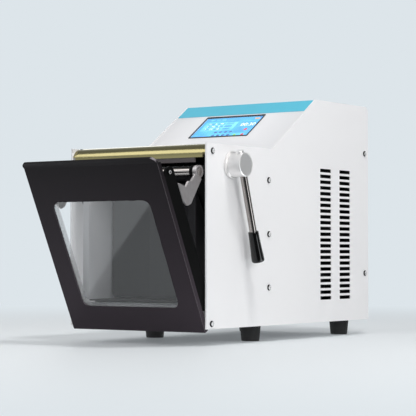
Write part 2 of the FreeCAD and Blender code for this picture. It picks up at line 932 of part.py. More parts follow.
def door_buffers():
    """Two rubber buffers on the sill that the open door rests against."""
    stops = [cylinder("y", (d.sill_front - d.buffer_reach, d.sill_front),
                      (side * d.buffer_spread, d.buffer_height), d.buffer_radius)
             for side in (1, -1)]
    keep("door_buffers", group(stops))


# Door

def window_frame(grow):
    """The window's outline in the face of the door, grown by a margin."""
    return rectangle((-d.window_half - grow, d.window_half + grow),
                     (door_low + d.window_low - grow, door_low + d.window_high + grow),
                     d.window_corner + grow)


def door_shell():
    """The folded door: face with its window, flanges and pull lip."""
    face = ring_plate("y", (door_face, door_face + d.door_sheet),
                      rectangle((-d.door_half, d.door_half), (door_low, door_top)),
                      window_frame(0))
    flange = (door_face, door_face + d.door_flange)
    folds = [box(mirrored(side, d.door_half - d.door_sheet, d.door_half), flange,
                 (door_low, door_top)) for side in (1, -1)]
    folds.append(box((-d.door_half, d.door_half), flange, (door_low, door_low + d.door_sheet)))
    lip = plate("z", (0, d.lip_sheet), rounded([
        (-d.door_half, -d.lip_length, d.lip_corner), (d.door_half, -d.lip_length, d.lip_corner),
        (d.door_half, d.door_sheet), (-d.door_half, d.door_sheet)]))
    lip.Placement = FreeCAD.Placement(V(0, float(door_face), float(door_top)),
                                      FreeCAD.Rotation(V(1, 0, 0), float(d.lip_angle) - 90))
    keep("door_shell", fuse([face, lip] + folds), DOOR)


def door_glazing():
    """The pane, the gasket round it and the seal behind it."""
    front = door_face + d.door_sheet
    back = front + d.pane_sheet
    keep("door_window", plate("y", (front, back), window_frame(d.pane_overlap)), DOOR)
    edge = d.pane_overlap + d.gasket_width
    keep("window_gasket", ring_plate("y", (front, back), window_frame(edge),
                                     window_frame(d.pane_overlap + d.seat_gap)), DOOR)
    keep("door_seal", ring_plate("y", (back, back + d.seal_height), window_frame(edge),
                                 window_frame(d.seal_inset)), DOOR)


def door_arms():
    """The two side arms that carry the door on its hinge pins."""
    arms = []
    for side in (1, -1):
        span = mirrored(side, d.arm_outer - d.arm_sheet, d.arm_outer)
        low = d.hinge_height - d.arm_below_hinge
        high = pin_place[1] + d.arm_above_pin
        edges = rectangle((door_face + d.arm_front, door_face + d.arm_rear), (low, high),
                          d.arm_corner)
        edges += round_hole(*hinge_place, d.hinge_radius + d.running_gap)
        edges += round_hole(*pin_place, d.pin_radius + d.running_gap)
        arms.append(plate("x", span, edges))
    keep("door_arms", group(arms), DOOR)


def latch_pins():
    """The two pins on the door arms that the hooks take hold of."""
    pins = []
    for side in (1, -1):
        pin = cylinder("x", mirrored(side, d.pin_inner, d.arm_outer), pin_place, d.pin_radius)
        head = cylinder("x", mirrored(side, d.arm_outer, d.arm_outer + d.pin_head_height),
                        pin_place, d.pin_head_radius)
        pins.append(fuse([pin, head]))
    keep("latch_pins", group(pins), DOOR)


def hinge_pins():
    """The two door hinge pins, set in the side panels."""
    pins = []
    for side in (1, -1):
        inner = d.arm_outer - d.arm_sheet - d.part_gap
        pin = cylinder("x", mirrored(side, inner, panel_in), hinge_place, d.hinge_radius)
        head = cylinder("x", mirrored(side, inner - d.hinge_head_height, inner), hinge_place,
                        d.hinge_head_radius)
        pins.append(fuse([pin, head]))
    keep("hinge_pins", group(pins))


# Latch and lever

def tooth_points(centre, teeth, middle):
    """One involute tooth, pointing at an angle from the gear's centre."""
    pitch_radius = float(d.gear_module) * teeth / 2
    base = pitch_radius * math.cos(FLANK_ANGLE)
    root, tip = pitch_radius - float(d.gear_dedendum), pitch_radius + float(d.gear_addendum)
    thick = math.pi * float(d.gear_module) / 2 - float(d.gear_backlash) / 2
    start = max(root, base)

    def half_angle(radius):
        flank = math.acos(min(1, base / radius))
        return (thick / 2 / pitch_radius + math.tan(FLANK_ANGLE) - FLANK_ANGLE
                - math.tan(flank) + flank)

    radii = [start + (tip - start) * step / TOOTH_STEPS for step in range(TOOTH_STEPS + 1)]
    side = [(root, half_angle(start))] + [(radius, half_angle(radius)) for radius in radii]
    if root >= base:
        side = side[1:]
    points = [(radius, -half) for radius, half in side]
    points += [(radius, half) for radius, half in reversed(side)]
    return [(float(centre[0]) + radius * math.cos(middle + turn),
             float(centre[1]) + radius * math.sin(middle + turn)) for radius, turn in points]


def toothed_segment(centre, teeth, middles, inner):
    """Edges of a segment of a gear, closed by a polygon at an inner radius."""
    outline = []
    for middle in middles:
        outline += tooth_points(centre, teeth, middle)
    for middle in reversed(middles):
        outline.append((float(centre[0]) + float(inner) * math.cos(middle),
                        float(centre[1]) + float(inner) * math.sin(middle)))
    return rounded(outline)


def strut(span, start, end, half):
    """A flat bar between two places in a side view."""
    first, last = V(float(start[0]), float(start[1]), 0), V(float(end[0]), float(end[1]), 0)
    out = (last - first).normalize().cross(V(0, 0, 1)) * float(half)
    corners = [first + out, last + out, last - out, first - out]
    return plate("x", span, rounded([(corner.x, corner.y) for corner in corners]))


def latch_sectors():
    """The two geared rockers that carry the cross rod."""
    facing = math.radians(90) - lean
    pitch = 2 * math.pi / SECTOR_TEETH
    middles = [facing + (step + 0.5) * pitch for step in range(-2, 7)]
    rim = [(float(pivot_place[0]) + float(d.sector_root) * math.cos(middle),
            float(pivot_place[1]) + float(d.sector_root) * math.sin(middle))
           for middle in (middles[0] + pitch, middles[-1])]
    sectors = []
    for side in (1, -1):
        span = mirrored(side, d.sector_inner, d.sector_inner + d.sector_sheet)
        solid = [plate("x", span, toothed_segment(pivot_place, SECTOR_TEETH, middles,
                                                  d.sector_root)),
                 strut(span, pivot_place, rim[0], d.sector_arm),
                 strut(span, pivot_place, rod_place, d.sector_arm),
                 cylinder("x", span, pivot_place, d.sector_boss),
                 cylinder("x", span, rod_place, d.hook_boss)]
        long_span = (span[0] - d.cut_overrun, span[1] + d.cut_overrun)
        bores = [cylinder("x", long_span, pivot_place, d.pivot_radius + d.running_gap),
                 cylinder("x", long_span, rod_place, d.rod_radius + d.running_gap)]
        sectors.append(cut(fuse(solid), bores))
    keep("latch_sectors", group(sectors))


# Outline of a hook about its seat, as shares of its reach: (back, up, corner)
HOOK_SHARES = [
    (-0.171, -0.694, 0.09), (0.106, -0.865, 0.11), (0.326, -0.779, 0.10),
    (0.991, 0.159, 0), (0.609, 0.329, 0), (0.344, 0.062, 0.03), (0.156, 0.044, 0.03),
    (-0.006, -0.176, 0.03), (-0.341, -0.068, 0.02), (-0.485, -0.047, 0.03),
    (-0.478, -0.100, 0.03),
]


def latch_hooks():
    """The two hooks and the collars that space them from the rockers."""
    reach = float(d.hook_reach)
    outline = [(seat[0] + back * reach, seat[1] + up * reach, corner * reach)
               for back, up, corner in HOOK_SHARES]
    hooks, collars = [], []
    for side in (1, -1):
        span = mirrored(side, d.hook_inner, d.hook_inner + d.hook_sheet)
        solid = [plate("x", span, rounded(outline)),
                 cylinder("x", span, rod_place, d.hook_boss)]
        long_span = (span[0] - d.cut_overrun, span[1] + d.cut_overrun)
        bore = cylinder("x", long_span, rod_place, d.rod_radius + d.running_gap)
        hooks.append(cut(fuse(solid), [bore]))
        span = mirrored(side, d.sector_inner + d.sector_sheet, d.hook_inner)
        bore = cylinder("x", long_span, rod_place, d.rod_radius + d.running_gap)
        collars.append(cut(cylinder("x", span, rod_place, d.hook_boss), [bore]))
    keep("latch_hooks", group(hooks))
    keep("latch_collars", group(collars))
    rod = cylinder("x", (-d.rod_end, d.rod_end), rod_place, d.rod_radius)
    keep("latch_rod", group([rod]))


def pivot_studs():
    """The studs in the side panels on which the rockers swing."""
    studs = []
    outer = d.sector_inner + d.sector_sheet + d.part_gap
    for side in (1, -1):
        solid = [cylinder("x", mirrored(side, d.pivot_inner, panel_in), pivot_place,
                          d.pivot_radius),
                 cylinder("x", mirrored(side, outer, panel_in), pivot_place,
                          d.pivot_collar_radius),
                 cylinder("x", mirrored(side, d.pivot_inner, d.sector_inner - d.part_gap),
                          pivot_place, d.pivot_collar_radius)]
        studs.append(fuse(solid))
    keep("pivot_studs", group(studs))


def lever_bushes():
    """The bushes of the lever shaft in the two side panels."""
    bushes = []
    for side in (1, -1):
        solid = [cylinder("x", mirrored(side, panel_in - d.bush_length, panel_in), lever_place,
                          d.bush_radius)]
        if side > 0:
            solid.append(cylinder("x", (panel_in, half_width), lever_place,
                                  d.shaft_radius + d.bush_wall))
        reach = mirrored(side, panel_in - d.bush_length - d.cut_overrun,
                         half_width + d.cut_overrun)
        bore = cylinder("x", reach, lever_place, d.shaft_radius + d.running_gap)
        bushes.append(cut(fuse(solid) if side > 0 else solid[0], [bore]))
    keep("lever_bushes", group(bushes))


hub_start = half_width + d.part_gap
LEVER = turned_about(lever_place, d.lever_lean)


def lever():
    """The shaft through the housing, the hub, the rod and its grip."""
    shaft = cylinder("x", (d.part_gap - panel_in, hub_start), lever_place, d.shaft_radius)
    keep("lever_shaft", group([shaft]))
    end = half_width + d.hub_length
    bevel = d.hub_bevel
    hub = lathe("x", V(0, float(d.lever_back), float(lever_height)), [
        (hub_start, 0), (hub_start, d.hub_base_radius - bevel),
        (hub_start + bevel, d.hub_base_radius),
        (half_width + d.hub_base_length - bevel, d.hub_base_radius),
        (half_width + d.hub_base_length, d.hub_base_radius - bevel),
        (half_width + d.hub_base_length, d.hub_radius), (end - bevel, d.hub_radius),
        (end, d.hub_radius - bevel), (end, 0)])
    plane = half_width + d.lever_reach
    place = (plane, d.lever_back)
    hole = group([cylinder("z", (lever_height - d.hub_base_radius - d.cut_overrun,
                                 lever_height + d.hub_base_radius + d.cut_overrun),
                           place, d.lever_rod_radius + d.running_gap)])
    hole.Placement = LEVER
    keep("lever_hub", cut(hub, [hole]))
    rod = cylinder("z", (lever_height - d.grip_start, lever_height + d.lever_rod_proud),
                   place, d.lever_rod_radius)
    keep("lever_rod", group([rod]), LEVER)
    low = lever_height - d.grip_end + d.grip_high_radius
    taper = cone("z", (low, lever_height - d.grip_start), place,
                 (d.grip_high_radius, d.grip_low_radius))
    ball = doc.addObject("Part::Sphere", "ball")
    bind(ball, "Radius", d.grip_high_radius)
    for name, size in zip("xyz", (plane, d.lever_back, low)):
        bind(ball, ".Placement.Base." + name, size)
    keep("lever_grip", fuse([taper, ball]), LEVER)


def latch_pinions():
    """The toothed segments on the lever shaft that drive the rockers."""
    facing = -math.radians(90) - lean
    pitch = 2 * math.pi / PINION_TEETH
    middles = [facing + step * pitch for step in range(-6, 2)]
    pinions = []
    for side in (1, -1):
        span = mirrored(side, d.sector_inner, d.sector_inner + d.sector_sheet)
        long_span = (span[0] - d.cut_overrun, span[1] + d.cut_overrun)
        solid = [plate("x", span, toothed_segment(lever_place, PINION_TEETH, middles,
                                                  d.shaft_radius + d.bush_wall / 2)),
                 cylinder("x", span, lever_place, d.pinion_boss)]
        bore = cylinder("x", long_span, lever_place, d.shaft_radius + d.running_gap)
        pinions.append(cut(fuse(solid), [bore]))
    keep("latch_pinions", group(pinions))


# Paddle drive: the right paddle rests forward, the left one back

def shift_of(side):
    """How far a paddle's pieces stand from mid-stroke at rest."""
    return -side * d.stroke_half


def paddles():
    """The two paddles with their guide rods and crossheads."""
    for side, word in ((1, "right"), (-1, "left")):
        shift = shift_of(side)
        front = d.paddle_front + shift
        face = rectangle(mirrored(side, d.paddle_centre - d.paddle_half,
                                  d.paddle_centre + d.paddle_half),
                         (d.paddle_low, d.paddle_high), d.paddle_corner)
        keep("paddle_" + word, plate("y", (front, front + d.paddle_sheet), face))
        bar_front = d.cross_front + shift
        rods = [cylinder("y", (front + d.paddle_sheet, bar_front),
                         (side * (d.paddle_centre + turn * d.guide_spread), d.drive_height),
                         d.guide_radius) for turn in (1, -1)]
        keep("guide_rods_" + word, group(rods))
        upright = (d.drive_height - d.cross_half_height, d.drive_height + d.cross_half_height)
        bar_back = bar_front + d.cross_depth
        wrist = (d.wrist_back + shift, d.drive_height)
        lug_end = d.lug_inner + d.lug_sheet
        solid = [box(mirrored(side, d.paddle_centre - d.cross_half_width,
                              d.paddle_centre + d.cross_half_width),
                     (bar_front, bar_back), upright),
                 box(mirrored(side, d.lug_inner, lug_end),
                     (bar_back, wrist[0] + 2 * d.wrist_radius), upright),
                 cylinder("x", mirrored(side, lug_end, lug_end + d.wrist_length), wrist,
                          d.wrist_radius)]
        keep("crosshead_" + word, fuse(solid))


def connecting_rods():
    """The rods from the crank pins to the crossheads."""
    for side, word in ((1, "right"), (-1, "left")):
        span = mirrored(side, d.rod_plane, d.rod_plane + d.rod_sheet)
        small = (d.wrist_back + shift_of(side), d.drive_height)
        big = (d.crank_back + shift_of(side), d.drive_height)
        solid = [cylinder("x", span, small, d.small_eye), cylinder("x", span, big, d.big_eye),
                 box(span, (small[0], big[0]),
                     (d.drive_height - d.rod_waist, d.drive_height + d.rod_waist))]
        long_span = (span[0] - d.cut_overrun, span[1] + d.cut_overrun)
        bores = [cylinder("x", long_span, small, d.wrist_radius + d.running_gap),
                 cylinder("x", long_span, big, d.crank_pin_radius + d.running_gap)]
        keep("connecting_rod_" + word, cut(fuse(solid), bores))


def crankshaft():
    """The built-up shaft with its two crank pins half a turn apart."""
    axis = (d.crank_back, d.drive_height)
    near = d.rod_plane - d.web_gap
    far = d.rod_plane + d.rod_sheet + d.web_gap
    solid = [cylinder("x", (-near, near), axis, d.crank_shaft_radius),
             cylinder("x", (far, d.crank_right_end), axis, d.crank_shaft_radius),
             cylinder("x", (-d.crank_left_end, -far), axis, d.crank_shaft_radius)]
    for side in (1, -1):
        solid.append(cylinder("x", mirrored(side, near - d.web_sheet, near), axis, d.web_radius))
        solid.append(cylinder("x", mirrored(side, far, far + d.web_sheet), axis, d.web_radius))
        solid.append(cylinder("x", mirrored(side, near, far),
                              (d.crank_back + shift_of(side), d.drive_height),
                              d.crank_pin_radius))
    keep("crankshaft", fuse(solid))


def drive_frame():
    """The bracket that carries the crankshaft and the motor."""
    floor = d.inner_sheet
    solid, holes = [], []
    for side in (1, -1):
        span = mirrored(side, d.upright_inner, d.upright_inner + d.upright_sheet)
        solid.append(box(span, (d.upright_front, d.upright_back), (floor, d.upright_height)))
        solid.append(box(mirrored(side, d.upright_inner,
                                  d.upright_inner + d.upright_sheet + d.upright_foot),
                         (d.upright_front, d.upright_back),
                         (floor, floor + d.upright_foot_sheet)))
    holes.append(cylinder("x", (-half_width, half_width), (d.crank_back, d.drive_height),
                          d.bearing_radius + d.running_gap))
    left = mirrored(-1, d.upright_inner, d.upright_inner + d.upright_sheet)
    solid.append(box(left, (d.upright_back, d.motor_plate_back), (floor, d.motor_plate_height)))
    solid.append(box((-d.upright_inner, d.upright_inner),
                     (d.upright_front, d.upright_front + d.upright_sheet),
                     (floor, floor + 2 * d.upright_sheet)))
    holes.append(cylinder("x", (left[0] - d.cut_overrun, left[1] + d.cut_overrun),
                          (d.motor_back, d.motor_height), d.motor_shaft_radius + d.shaft_room))
    keep("drive_frame", cut(fuse(solid), holes))


def crank_bearings():
    """The two ball bearings in the uprights."""
    rings = []
    middle = d.upright_inner + d.upright_sheet / 2
    place = (d.crank_back, d.drive_height)
    for side in (1, -1):
        span = mirrored(side, middle - d.bearing_half, middle + d.bearing_half)
        bore = cylinder("x", (span[0] - d.cut_overrun, span[1] + d.cut_overrun), place,
                        d.crank_shaft_radius + d.running_gap)
        rings.append(cut(cylinder("x", span, place, d.bearing_radius), [bore]))
    keep("crank_bearings", group(rings))


def motor():
    """The motor on the left upright; its shaft is handed on to the pulley."""
    place = (d.motor_back, d.motor_height)
    start = -d.upright_inner
    end = start + d.motor_length
    body = cylinder("x", (start, end), place, d.motor_radius)
    cap = cylinder("x", (end, end + d.motor_cap), place, d.motor_radius - d.motor_cap / 2)
    bore = cylinder("x", (start - d.cut_overrun, start + d.motor_bore), place,
                    d.motor_shaft_radius + d.running_gap)
    keep("motor", cut(fuse([body, cap]), [bore]))
    return cylinder("x", (-d.crank_left_end, start + d.motor_bore - d.part_gap), place,
                    d.motor_shaft_radius)


def pulley(place, radius, bore):
    """A flanged flat-belt pulley."""
    left, right = -d.pulley_near - d.pulley_width, -d.pulley_near
    flange = radius + d.pulley_flange
    return lathe("x", V(0, float(place[0]), float(place[1])), [
        (left, bore + d.running_gap), (left, flange), (left + d.pulley_rim, flange),
        (left + d.pulley_rim, radius), (right - d.pulley_rim, radius),
        (right - d.pulley_rim, flange), (right, flange), (right, bore + d.running_gap)])


def belt_loop(grow):
    """Two arcs and two straight runs round both pulleys."""
    first = V(float(d.crank_back), float(d.drive_height), 0)
    last = V(float(d.motor_back), float(d.motor_height), 0)
    large = float(d.crank_pulley_radius + grow)
    small = float(d.motor_pulley_radius + grow)
    run = last - first
    heading = math.atan2(run.y, run.x)
    lift = math.acos((large - small) / run.Length)

    def rim(centre, radius, angle):
        return centre + V(math.cos(angle), math.sin(angle), 0) * radius

    high, low = heading + lift, heading - lift
    return [Part.Arc(rim(first, large, high), rim(first, large, heading + math.pi),
                     rim(first, large, low)),
            Part.LineSegment(rim(first, large, low), rim(last, small, low)),
            Part.Arc(rim(last, small, low), rim(last, small, heading), rim(last, small, high)),
            Part.LineSegment(rim(last, small, high), rim(first, large, high))]


def pulleys(shaft):
    """The crank pulley, the motor pulley on its shaft and the belt round them."""
    large = pulley((d.crank_back, d.drive_height), d.crank_pulley_radius, d.crank_shaft_radius)
    keep("crank_pulley", group([large]))
    small = pulley((d.motor_back, d.motor_height), d.motor_pulley_radius, d.motor_shaft_radius)
    keep("motor_pulley", group([small, shaft]))
    edge = d.pulley_rim + d.part_gap
    span = (edge - d.pulley_near - d.pulley_width, -d.pulley_near - edge)
    keep("drive_belt", ring_plate("x", span, belt_loop(d.part_gap + d.belt_sheet),
                                  belt_loop(d.part_gap)))


# Fan, inlet and switch

def fan():
    """The fan's frame with its boss and struts, and the rotor."""
    middle = (d.fan_across, fan_height)
    half = d.fan_side / 2
    front = rear_in - d.fan_depth
    square = box((middle[0] - half, middle[0] + half), (front, rear_in),
                 (middle[1] - half, middle[1] + half))
    shell = cut(square, [cylinder("y", (front - d.cut_overrun, rear_in + d.cut_overrun), middle,
                                  d.fan_bore)])
    boss = cylinder("y", (front, front + d.fan_boss), middle, d.fan_hub)
    thin = d.fan_strut / 2
    long, wide = (half - thin, thin), (thin, half - thin)
    bars = [box((middle[0] - a, middle[0] + a), (front, front + thin),
                (middle[1] - b, middle[1] + b)) for a, b in (long, wide)]
    hole = cylinder("y", (front - d.cut_overrun, rear_in), middle,
                    d.fan_spindle + d.running_gap)
    keep("fan_frame", cut(fuse([shell, boss] + bars), [hole]))
    hub_front = front + d.fan_boss + d.part_gap
    hub_back = rear_in - d.part_gap
    solid = [cylinder("y", (hub_front, hub_back), middle, d.fan_hub),
             cylinder("y", (front + d.part_gap, hub_front), middle, d.fan_spindle)]
    halves = (d.fan_blade_width / 2, d.fan_blade_sheet / 2)
    centre = V(float(middle[0]), float((hub_front + hub_back) / 2), float(middle[1]))
    pitch = FreeCAD.Rotation(V(1, 0, 0), FAN_PITCH)
    for blade in range(FAN_BLADES):
        leaf = group([box((d.fan_hub - d.fan_blade_sheet, d.fan_blade_radius),
                          (-halves[0], halves[0]), (-halves[1], halves[1]))])
        turn = FreeCAD.Rotation(V(0, 1, 0), 360 * blade / FAN_BLADES)
        leaf.Placement = FreeCAD.Placement(centre, turn * pitch)
        solid.append(leaf)
    keep("fan_rotor", fuse(solid))


def fan_guard():
    """The wire guard over the fan opening, as flat rings and cross bars."""
    middle = (d.fan_across, fan_height)
    span = (rear_face, rear_face + d.guard_sheet)
    long_span = (span[0] - d.cut_overrun, span[1] + d.cut_overrun)
    outer = d.fan_bore + d.guard_ring_width
    solid = [cylinder("y", span, middle, outer - 3 * d.guard_pitch)]
    for ring in range(3):
        radius = outer - ring * d.guard_pitch
        hole = cylinder("y", long_span, middle, radius - d.guard_ring_width)
        solid.append(cut(cylinder("y", span, middle, radius), [hole]))
    reach, thin = outer - d.guard_ring_width / 2, d.guard_ring_width / 2
    for a, b in ((reach, thin), (thin, reach)):
        solid.append(box((middle[0] - a, middle[0] + a), span, (middle[1] - b, middle[1] + b)))
    keep("fan_guard", fuse(solid))


rocker_place = (rear_face - d.inlet_flange_height / 2, d.rocker_centre)


def power_inlet():
    """The mains inlet module with its socket, three blades and switch well."""
    face = rear_face + d.inlet_flange_height
    x = d.inlet_across
    body = box((x - d.inlet_half, x + d.inlet_half), (rear_face - d.inlet_depth, rear_face),
               (d.inlet_low, d.inlet_high))
    border = d.inlet_half + d.inlet_border
    flange = box((x - border, x + border), (rear_face, face),
                 (d.inlet_low - d.inlet_border, d.inlet_high + d.inlet_border))
    over = face + d.cut_overrun
    socket = box((x - d.socket_half, x + d.socket_half), (face - d.socket_depth, over),
                 (d.socket_low, d.socket_high))
    well_half = d.rocker_half_width + d.part_gap
    tall = d.rocker_half_height + d.rocker_room
    well = box((x - well_half, x + well_half), (face - d.rocker_depth, over),
               (d.rocker_centre - tall, d.rocker_centre + tall))
    reach = well_half + d.trunnion_length
    seat_hole = cylinder("x", (x - reach, x + reach), rocker_place,
                         d.trunnion_radius + d.running_gap)
    shell = cut(fuse([body, flange]), [socket, well, seat_hole])
    middle = (d.socket_low + d.socket_high) / 2
    blades = []
    for turn in (-1, 0, 1):
        lift = d.socket_pin_rise / 2 * (1 if turn == 0 else -1)
        blades.append(box((x + turn * d.socket_pin_spread - d.socket_pin_half,
                           x + turn * d.socket_pin_spread + d.socket_pin_half),
                          (face - d.socket_depth, face - d.socket_pin_rise),
                          (middle + lift - d.socket_pin_rise, middle + lift + d.socket_pin_rise)))
    keep("power_inlet", fuse([shell] + blades))


def power_switch():
    """The rocker of the mains switch, resting with its lower edge pressed."""
    x = d.inlet_across
    face = rear_face + d.inlet_flange_height
    key = box((x - d.rocker_half_width, x + d.rocker_half_width),
              (rocker_place[0] - d.rocker_behind, face + d.rocker_proud),
              (d.rocker_centre - d.rocker_half_height, d.rocker_centre + d.rocker_half_height))
    reach = d.rocker_half_width + d.trunnion_length
    trunnion = cylinder("x", (x - reach, x + reach), rocker_place, d.trunnion_radius)
    keep("power_switch", fuse([key, trunnion]), turned_about(rocker_place, -d.rocker_turn / 2))


side_panel("right_side_panel", 1)
side_panel("left_side_panel", -1)
base_plate()
feet()
panel_screws()
bulkhead()
rear_panel()
top_cover()
nose_profile()
nose_screws()
lintel()
display()
label_strip()
chamber_liner()
guide_bushes()
power_supply()
door_buffers()
door_shell()
door_glazing()
door_arms()
latch_pins()
hinge_pins()
latch_sectors()
latch_hooks()
pivot_studs()
lever_bushes()
lever()
latch_pinions()
paddles()
connecting_rods()
crankshaft()
drive_frame()
crank_bearings()
pulleys(motor())
fan()
fan_guard()
power_inlet()
power_switch()

doc.recompute()
for feature in doc.Objects:
    if "Invalid" in feature.State or "Error" in feature.State:
        raise RuntimeError("could not build " + feature.Name + " " + feature.Label)
for name, feature in parts.items():
    if feature.Shape.isNull() or not feature.Shape.isValid():
        raise RuntimeError("bad shape in " + name)

# The frame: the middle of the underside of the whole part is the origin
bounds = FreeCAD.BoundBox()
for feature in parts.values():
    bounds.add(feature.Shape.optimalBoundingBox(False, False))
origin = FreeCAD.Placement(V(-bounds.Center.x, -bounds.Center.y, -bounds.ZMin),
                           FreeCAD.Rotation())
for feature in parts.values():
    feature.Placement = origin * feature.Placement
doc.recompute()

os.makedirs("parts", exist_ok=True)
for name, feature in parts.items():
    feature.Shape.exportStep("parts/" + name + ".step")
print(len(parts), "sub-parts, origin moved by", origin.Base)
print("size", bounds.XLength, bounds.YLength, bounds.ZLength)
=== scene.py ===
# %% [markdown]
# # A paddle blender, dressed for its portrait
#
# The machine beats a sample bag between two paddles and its own front door. It
# stands on a bench, so what the eye meets is sheet metal: a white powder-coated
# housing, a black door, a gold bar over the mouth and a chromed lever. The
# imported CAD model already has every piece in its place. This file gives those
# pieces their real surfaces, softens the edges that a press brake would leave
# soft, and grows the small repeated things with Geometry Nodes.

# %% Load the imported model
import json
import math

import bmesh
import bpy
from mathutils import Matrix, Vector


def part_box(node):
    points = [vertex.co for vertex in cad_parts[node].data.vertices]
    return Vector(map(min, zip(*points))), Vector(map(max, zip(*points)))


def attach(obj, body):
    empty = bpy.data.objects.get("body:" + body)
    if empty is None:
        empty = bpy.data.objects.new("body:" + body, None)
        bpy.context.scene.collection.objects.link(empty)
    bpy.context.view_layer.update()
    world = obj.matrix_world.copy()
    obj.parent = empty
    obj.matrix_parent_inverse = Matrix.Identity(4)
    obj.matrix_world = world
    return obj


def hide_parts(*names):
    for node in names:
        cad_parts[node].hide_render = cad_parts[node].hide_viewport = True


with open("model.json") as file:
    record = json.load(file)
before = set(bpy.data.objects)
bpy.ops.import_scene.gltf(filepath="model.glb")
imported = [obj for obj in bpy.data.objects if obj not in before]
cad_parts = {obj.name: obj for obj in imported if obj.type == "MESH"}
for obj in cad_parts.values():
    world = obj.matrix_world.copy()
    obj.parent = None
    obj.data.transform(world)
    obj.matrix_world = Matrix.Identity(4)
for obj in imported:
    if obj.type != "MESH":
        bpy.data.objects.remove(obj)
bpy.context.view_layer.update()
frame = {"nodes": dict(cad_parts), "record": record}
nodes = frame["nodes"]
body_of_node = {node: body
                for body, members in frame["record"]["behaviour"]["bodies"].items()
                for node in members}

# %% [markdown]
# Every place below is given as a maker would read it off the machine: from the
# middle of the housing, back from the side panels' front edges and up from
# their lower edge, in millimetres. One function turns that into the metres of
# the model's own frame, with its zero point taken from the panels themselves,
# and a second one does the same on the sloped top.

# %% Places on the machine
panel_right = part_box("right_side_panel")
panel_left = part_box("left_side_panel")
zero = Vector(((panel_left[0].x + panel_right[1].x) / 2, panel_right[0].y, panel_right[0].z))


def at(across, back, up):
    """A place on the machine, in millimetres, as a point in metres."""
    return zero + Vector((across, back, up)) / 1000


slope_foot = at(0, 152.1, 233.2)
slope_angle = math.atan2(74.4, 111.8)


def on_slope(across, along, proud=0.0):
    """A place on the sloped top: across, up along it and proud of it."""
    return slope_foot + Vector((
        across,
        along * math.cos(slope_angle) - proud * math.sin(slope_angle),
        along * math.sin(slope_angle) + proud * math.cos(slope_angle))) / 1000


print("zero", [round(v, 4) for v in zero], "slope", round(math.degrees(slope_angle), 2))

# %% [markdown]
# ## Small helpers for materials
#
# Colours are given as sRGB hex, the way paint charts and screens give
# them, but Blender's sockets hold linear light. One function does that turn.
# Another adds a shader node with its settings and its links, so that each
# material below reads as a short list of what feeds what. The others start a
# material, link nodes to its shader, and turn the size of a grain into a
# texture's scale.

# %% Colour and node helpers


def linear(colour, alpha=1.0):
    """An sRGB hex colour as linear red, green, blue and alpha."""
    shares = [int(colour[i:i + 2], 16) / 255 for i in (1, 3, 5)]
    return [s / 12.92 if s <= 0.04045 else ((s + 0.055) / 1.055) ** 2.4
            for s in shares] + [alpha]


def add(tree, kind, sockets=None, **settings):
    """Add a node: settings are its options, sockets hold values or other outputs."""
    made = tree.nodes.new(kind)
    for word, value in settings.items():
        setattr(made, word, value)
    for socket, value in (sockets or {}).items():
        if isinstance(value, bpy.types.NodeSocket):
            tree.links.new(value, made.inputs[socket])
        else:
            made.inputs[socket].default_value = value
    return made


def surface(name, colour, roughness, metallic=0.0, **more):
    """A material with its shader's plain sockets set; returns it, tree and shader."""
    made = bpy.data.materials.new(name)
    made.use_nodes = True
    shader = made.node_tree.nodes["Principled BSDF"]
    shader.inputs["Base Color"].default_value = linear(colour)
    shader.inputs["Roughness"].default_value = roughness
    shader.inputs["Metallic"].default_value = metallic
    for word, value in more.items():
        shader.inputs[word.replace("_", " ").title().replace("Ior", "IOR")].default_value = value
    return made, made.node_tree, shader


def feed(tree, shader, sockets):
    """Let the outputs of nodes drive a shader's sockets."""
    for socket, output in sockets.items():
        tree.links.new(output, shader.inputs[socket])


def per(millimetres):
    """The texture scale that makes one grain this many millimetres wide."""
    return 1000 / millimetres


print("white, made linear:", [round(share, 3) for share in linear("#FFFFFF")])

# %% [markdown]
# ## Powder coat
#
# The housing and the door are steel sheet with a baked powder coat. Powder
# flows as it melts but never quite levels, which leaves orange peel: shallow
# dimples about a millimetre wide that break up a highlight without dulling it.
# A noise bump at that size gives it, and a much larger and fainter noise gives
# the slight cloudiness that a big white panel shows under soft light.

# %% Powder coats


def powder_coat(name, colour, shade, roughness, peel, depth, gloss=0.5):
    """Baked powder coat: peel is the dimple size in millimetres."""
    made, tree, shader = surface(name, colour, roughness, ior=1.5, specular_ior_level=gloss)
    place = add(tree, "ShaderNodeTexCoord")
    cloud = add(tree, "ShaderNodeTexNoise", {"Vector": place.outputs["Object"],
                "Scale": per(140), "Detail": 2.0})
    tint = add(tree, "ShaderNodeMix", {"Factor": cloud.outputs["Fac"], 6: linear(colour),
               7: linear(shade)}, data_type="RGBA")
    dimples = add(tree, "ShaderNodeTexNoise", {"Vector": place.outputs["Object"],
                  "Scale": per(peel), "Detail": 3.0, "Roughness": 0.45})
    rough = add(tree, "ShaderNodeMapRange", {"Value": dimples.outputs["Fac"],
                "To Min": roughness - 0.06, "To Max": roughness + 0.06})
    bump = add(tree, "ShaderNodeBump", {"Height": dimples.outputs["Fac"],
               "Strength": 0.35, "Distance": depth / 1000})
    feed(tree, shader, {"Base Color": tint.outputs[2], "Roughness": rough.outputs["Result"],
                        "Normal": bump.outputs["Normal"]})
    return made


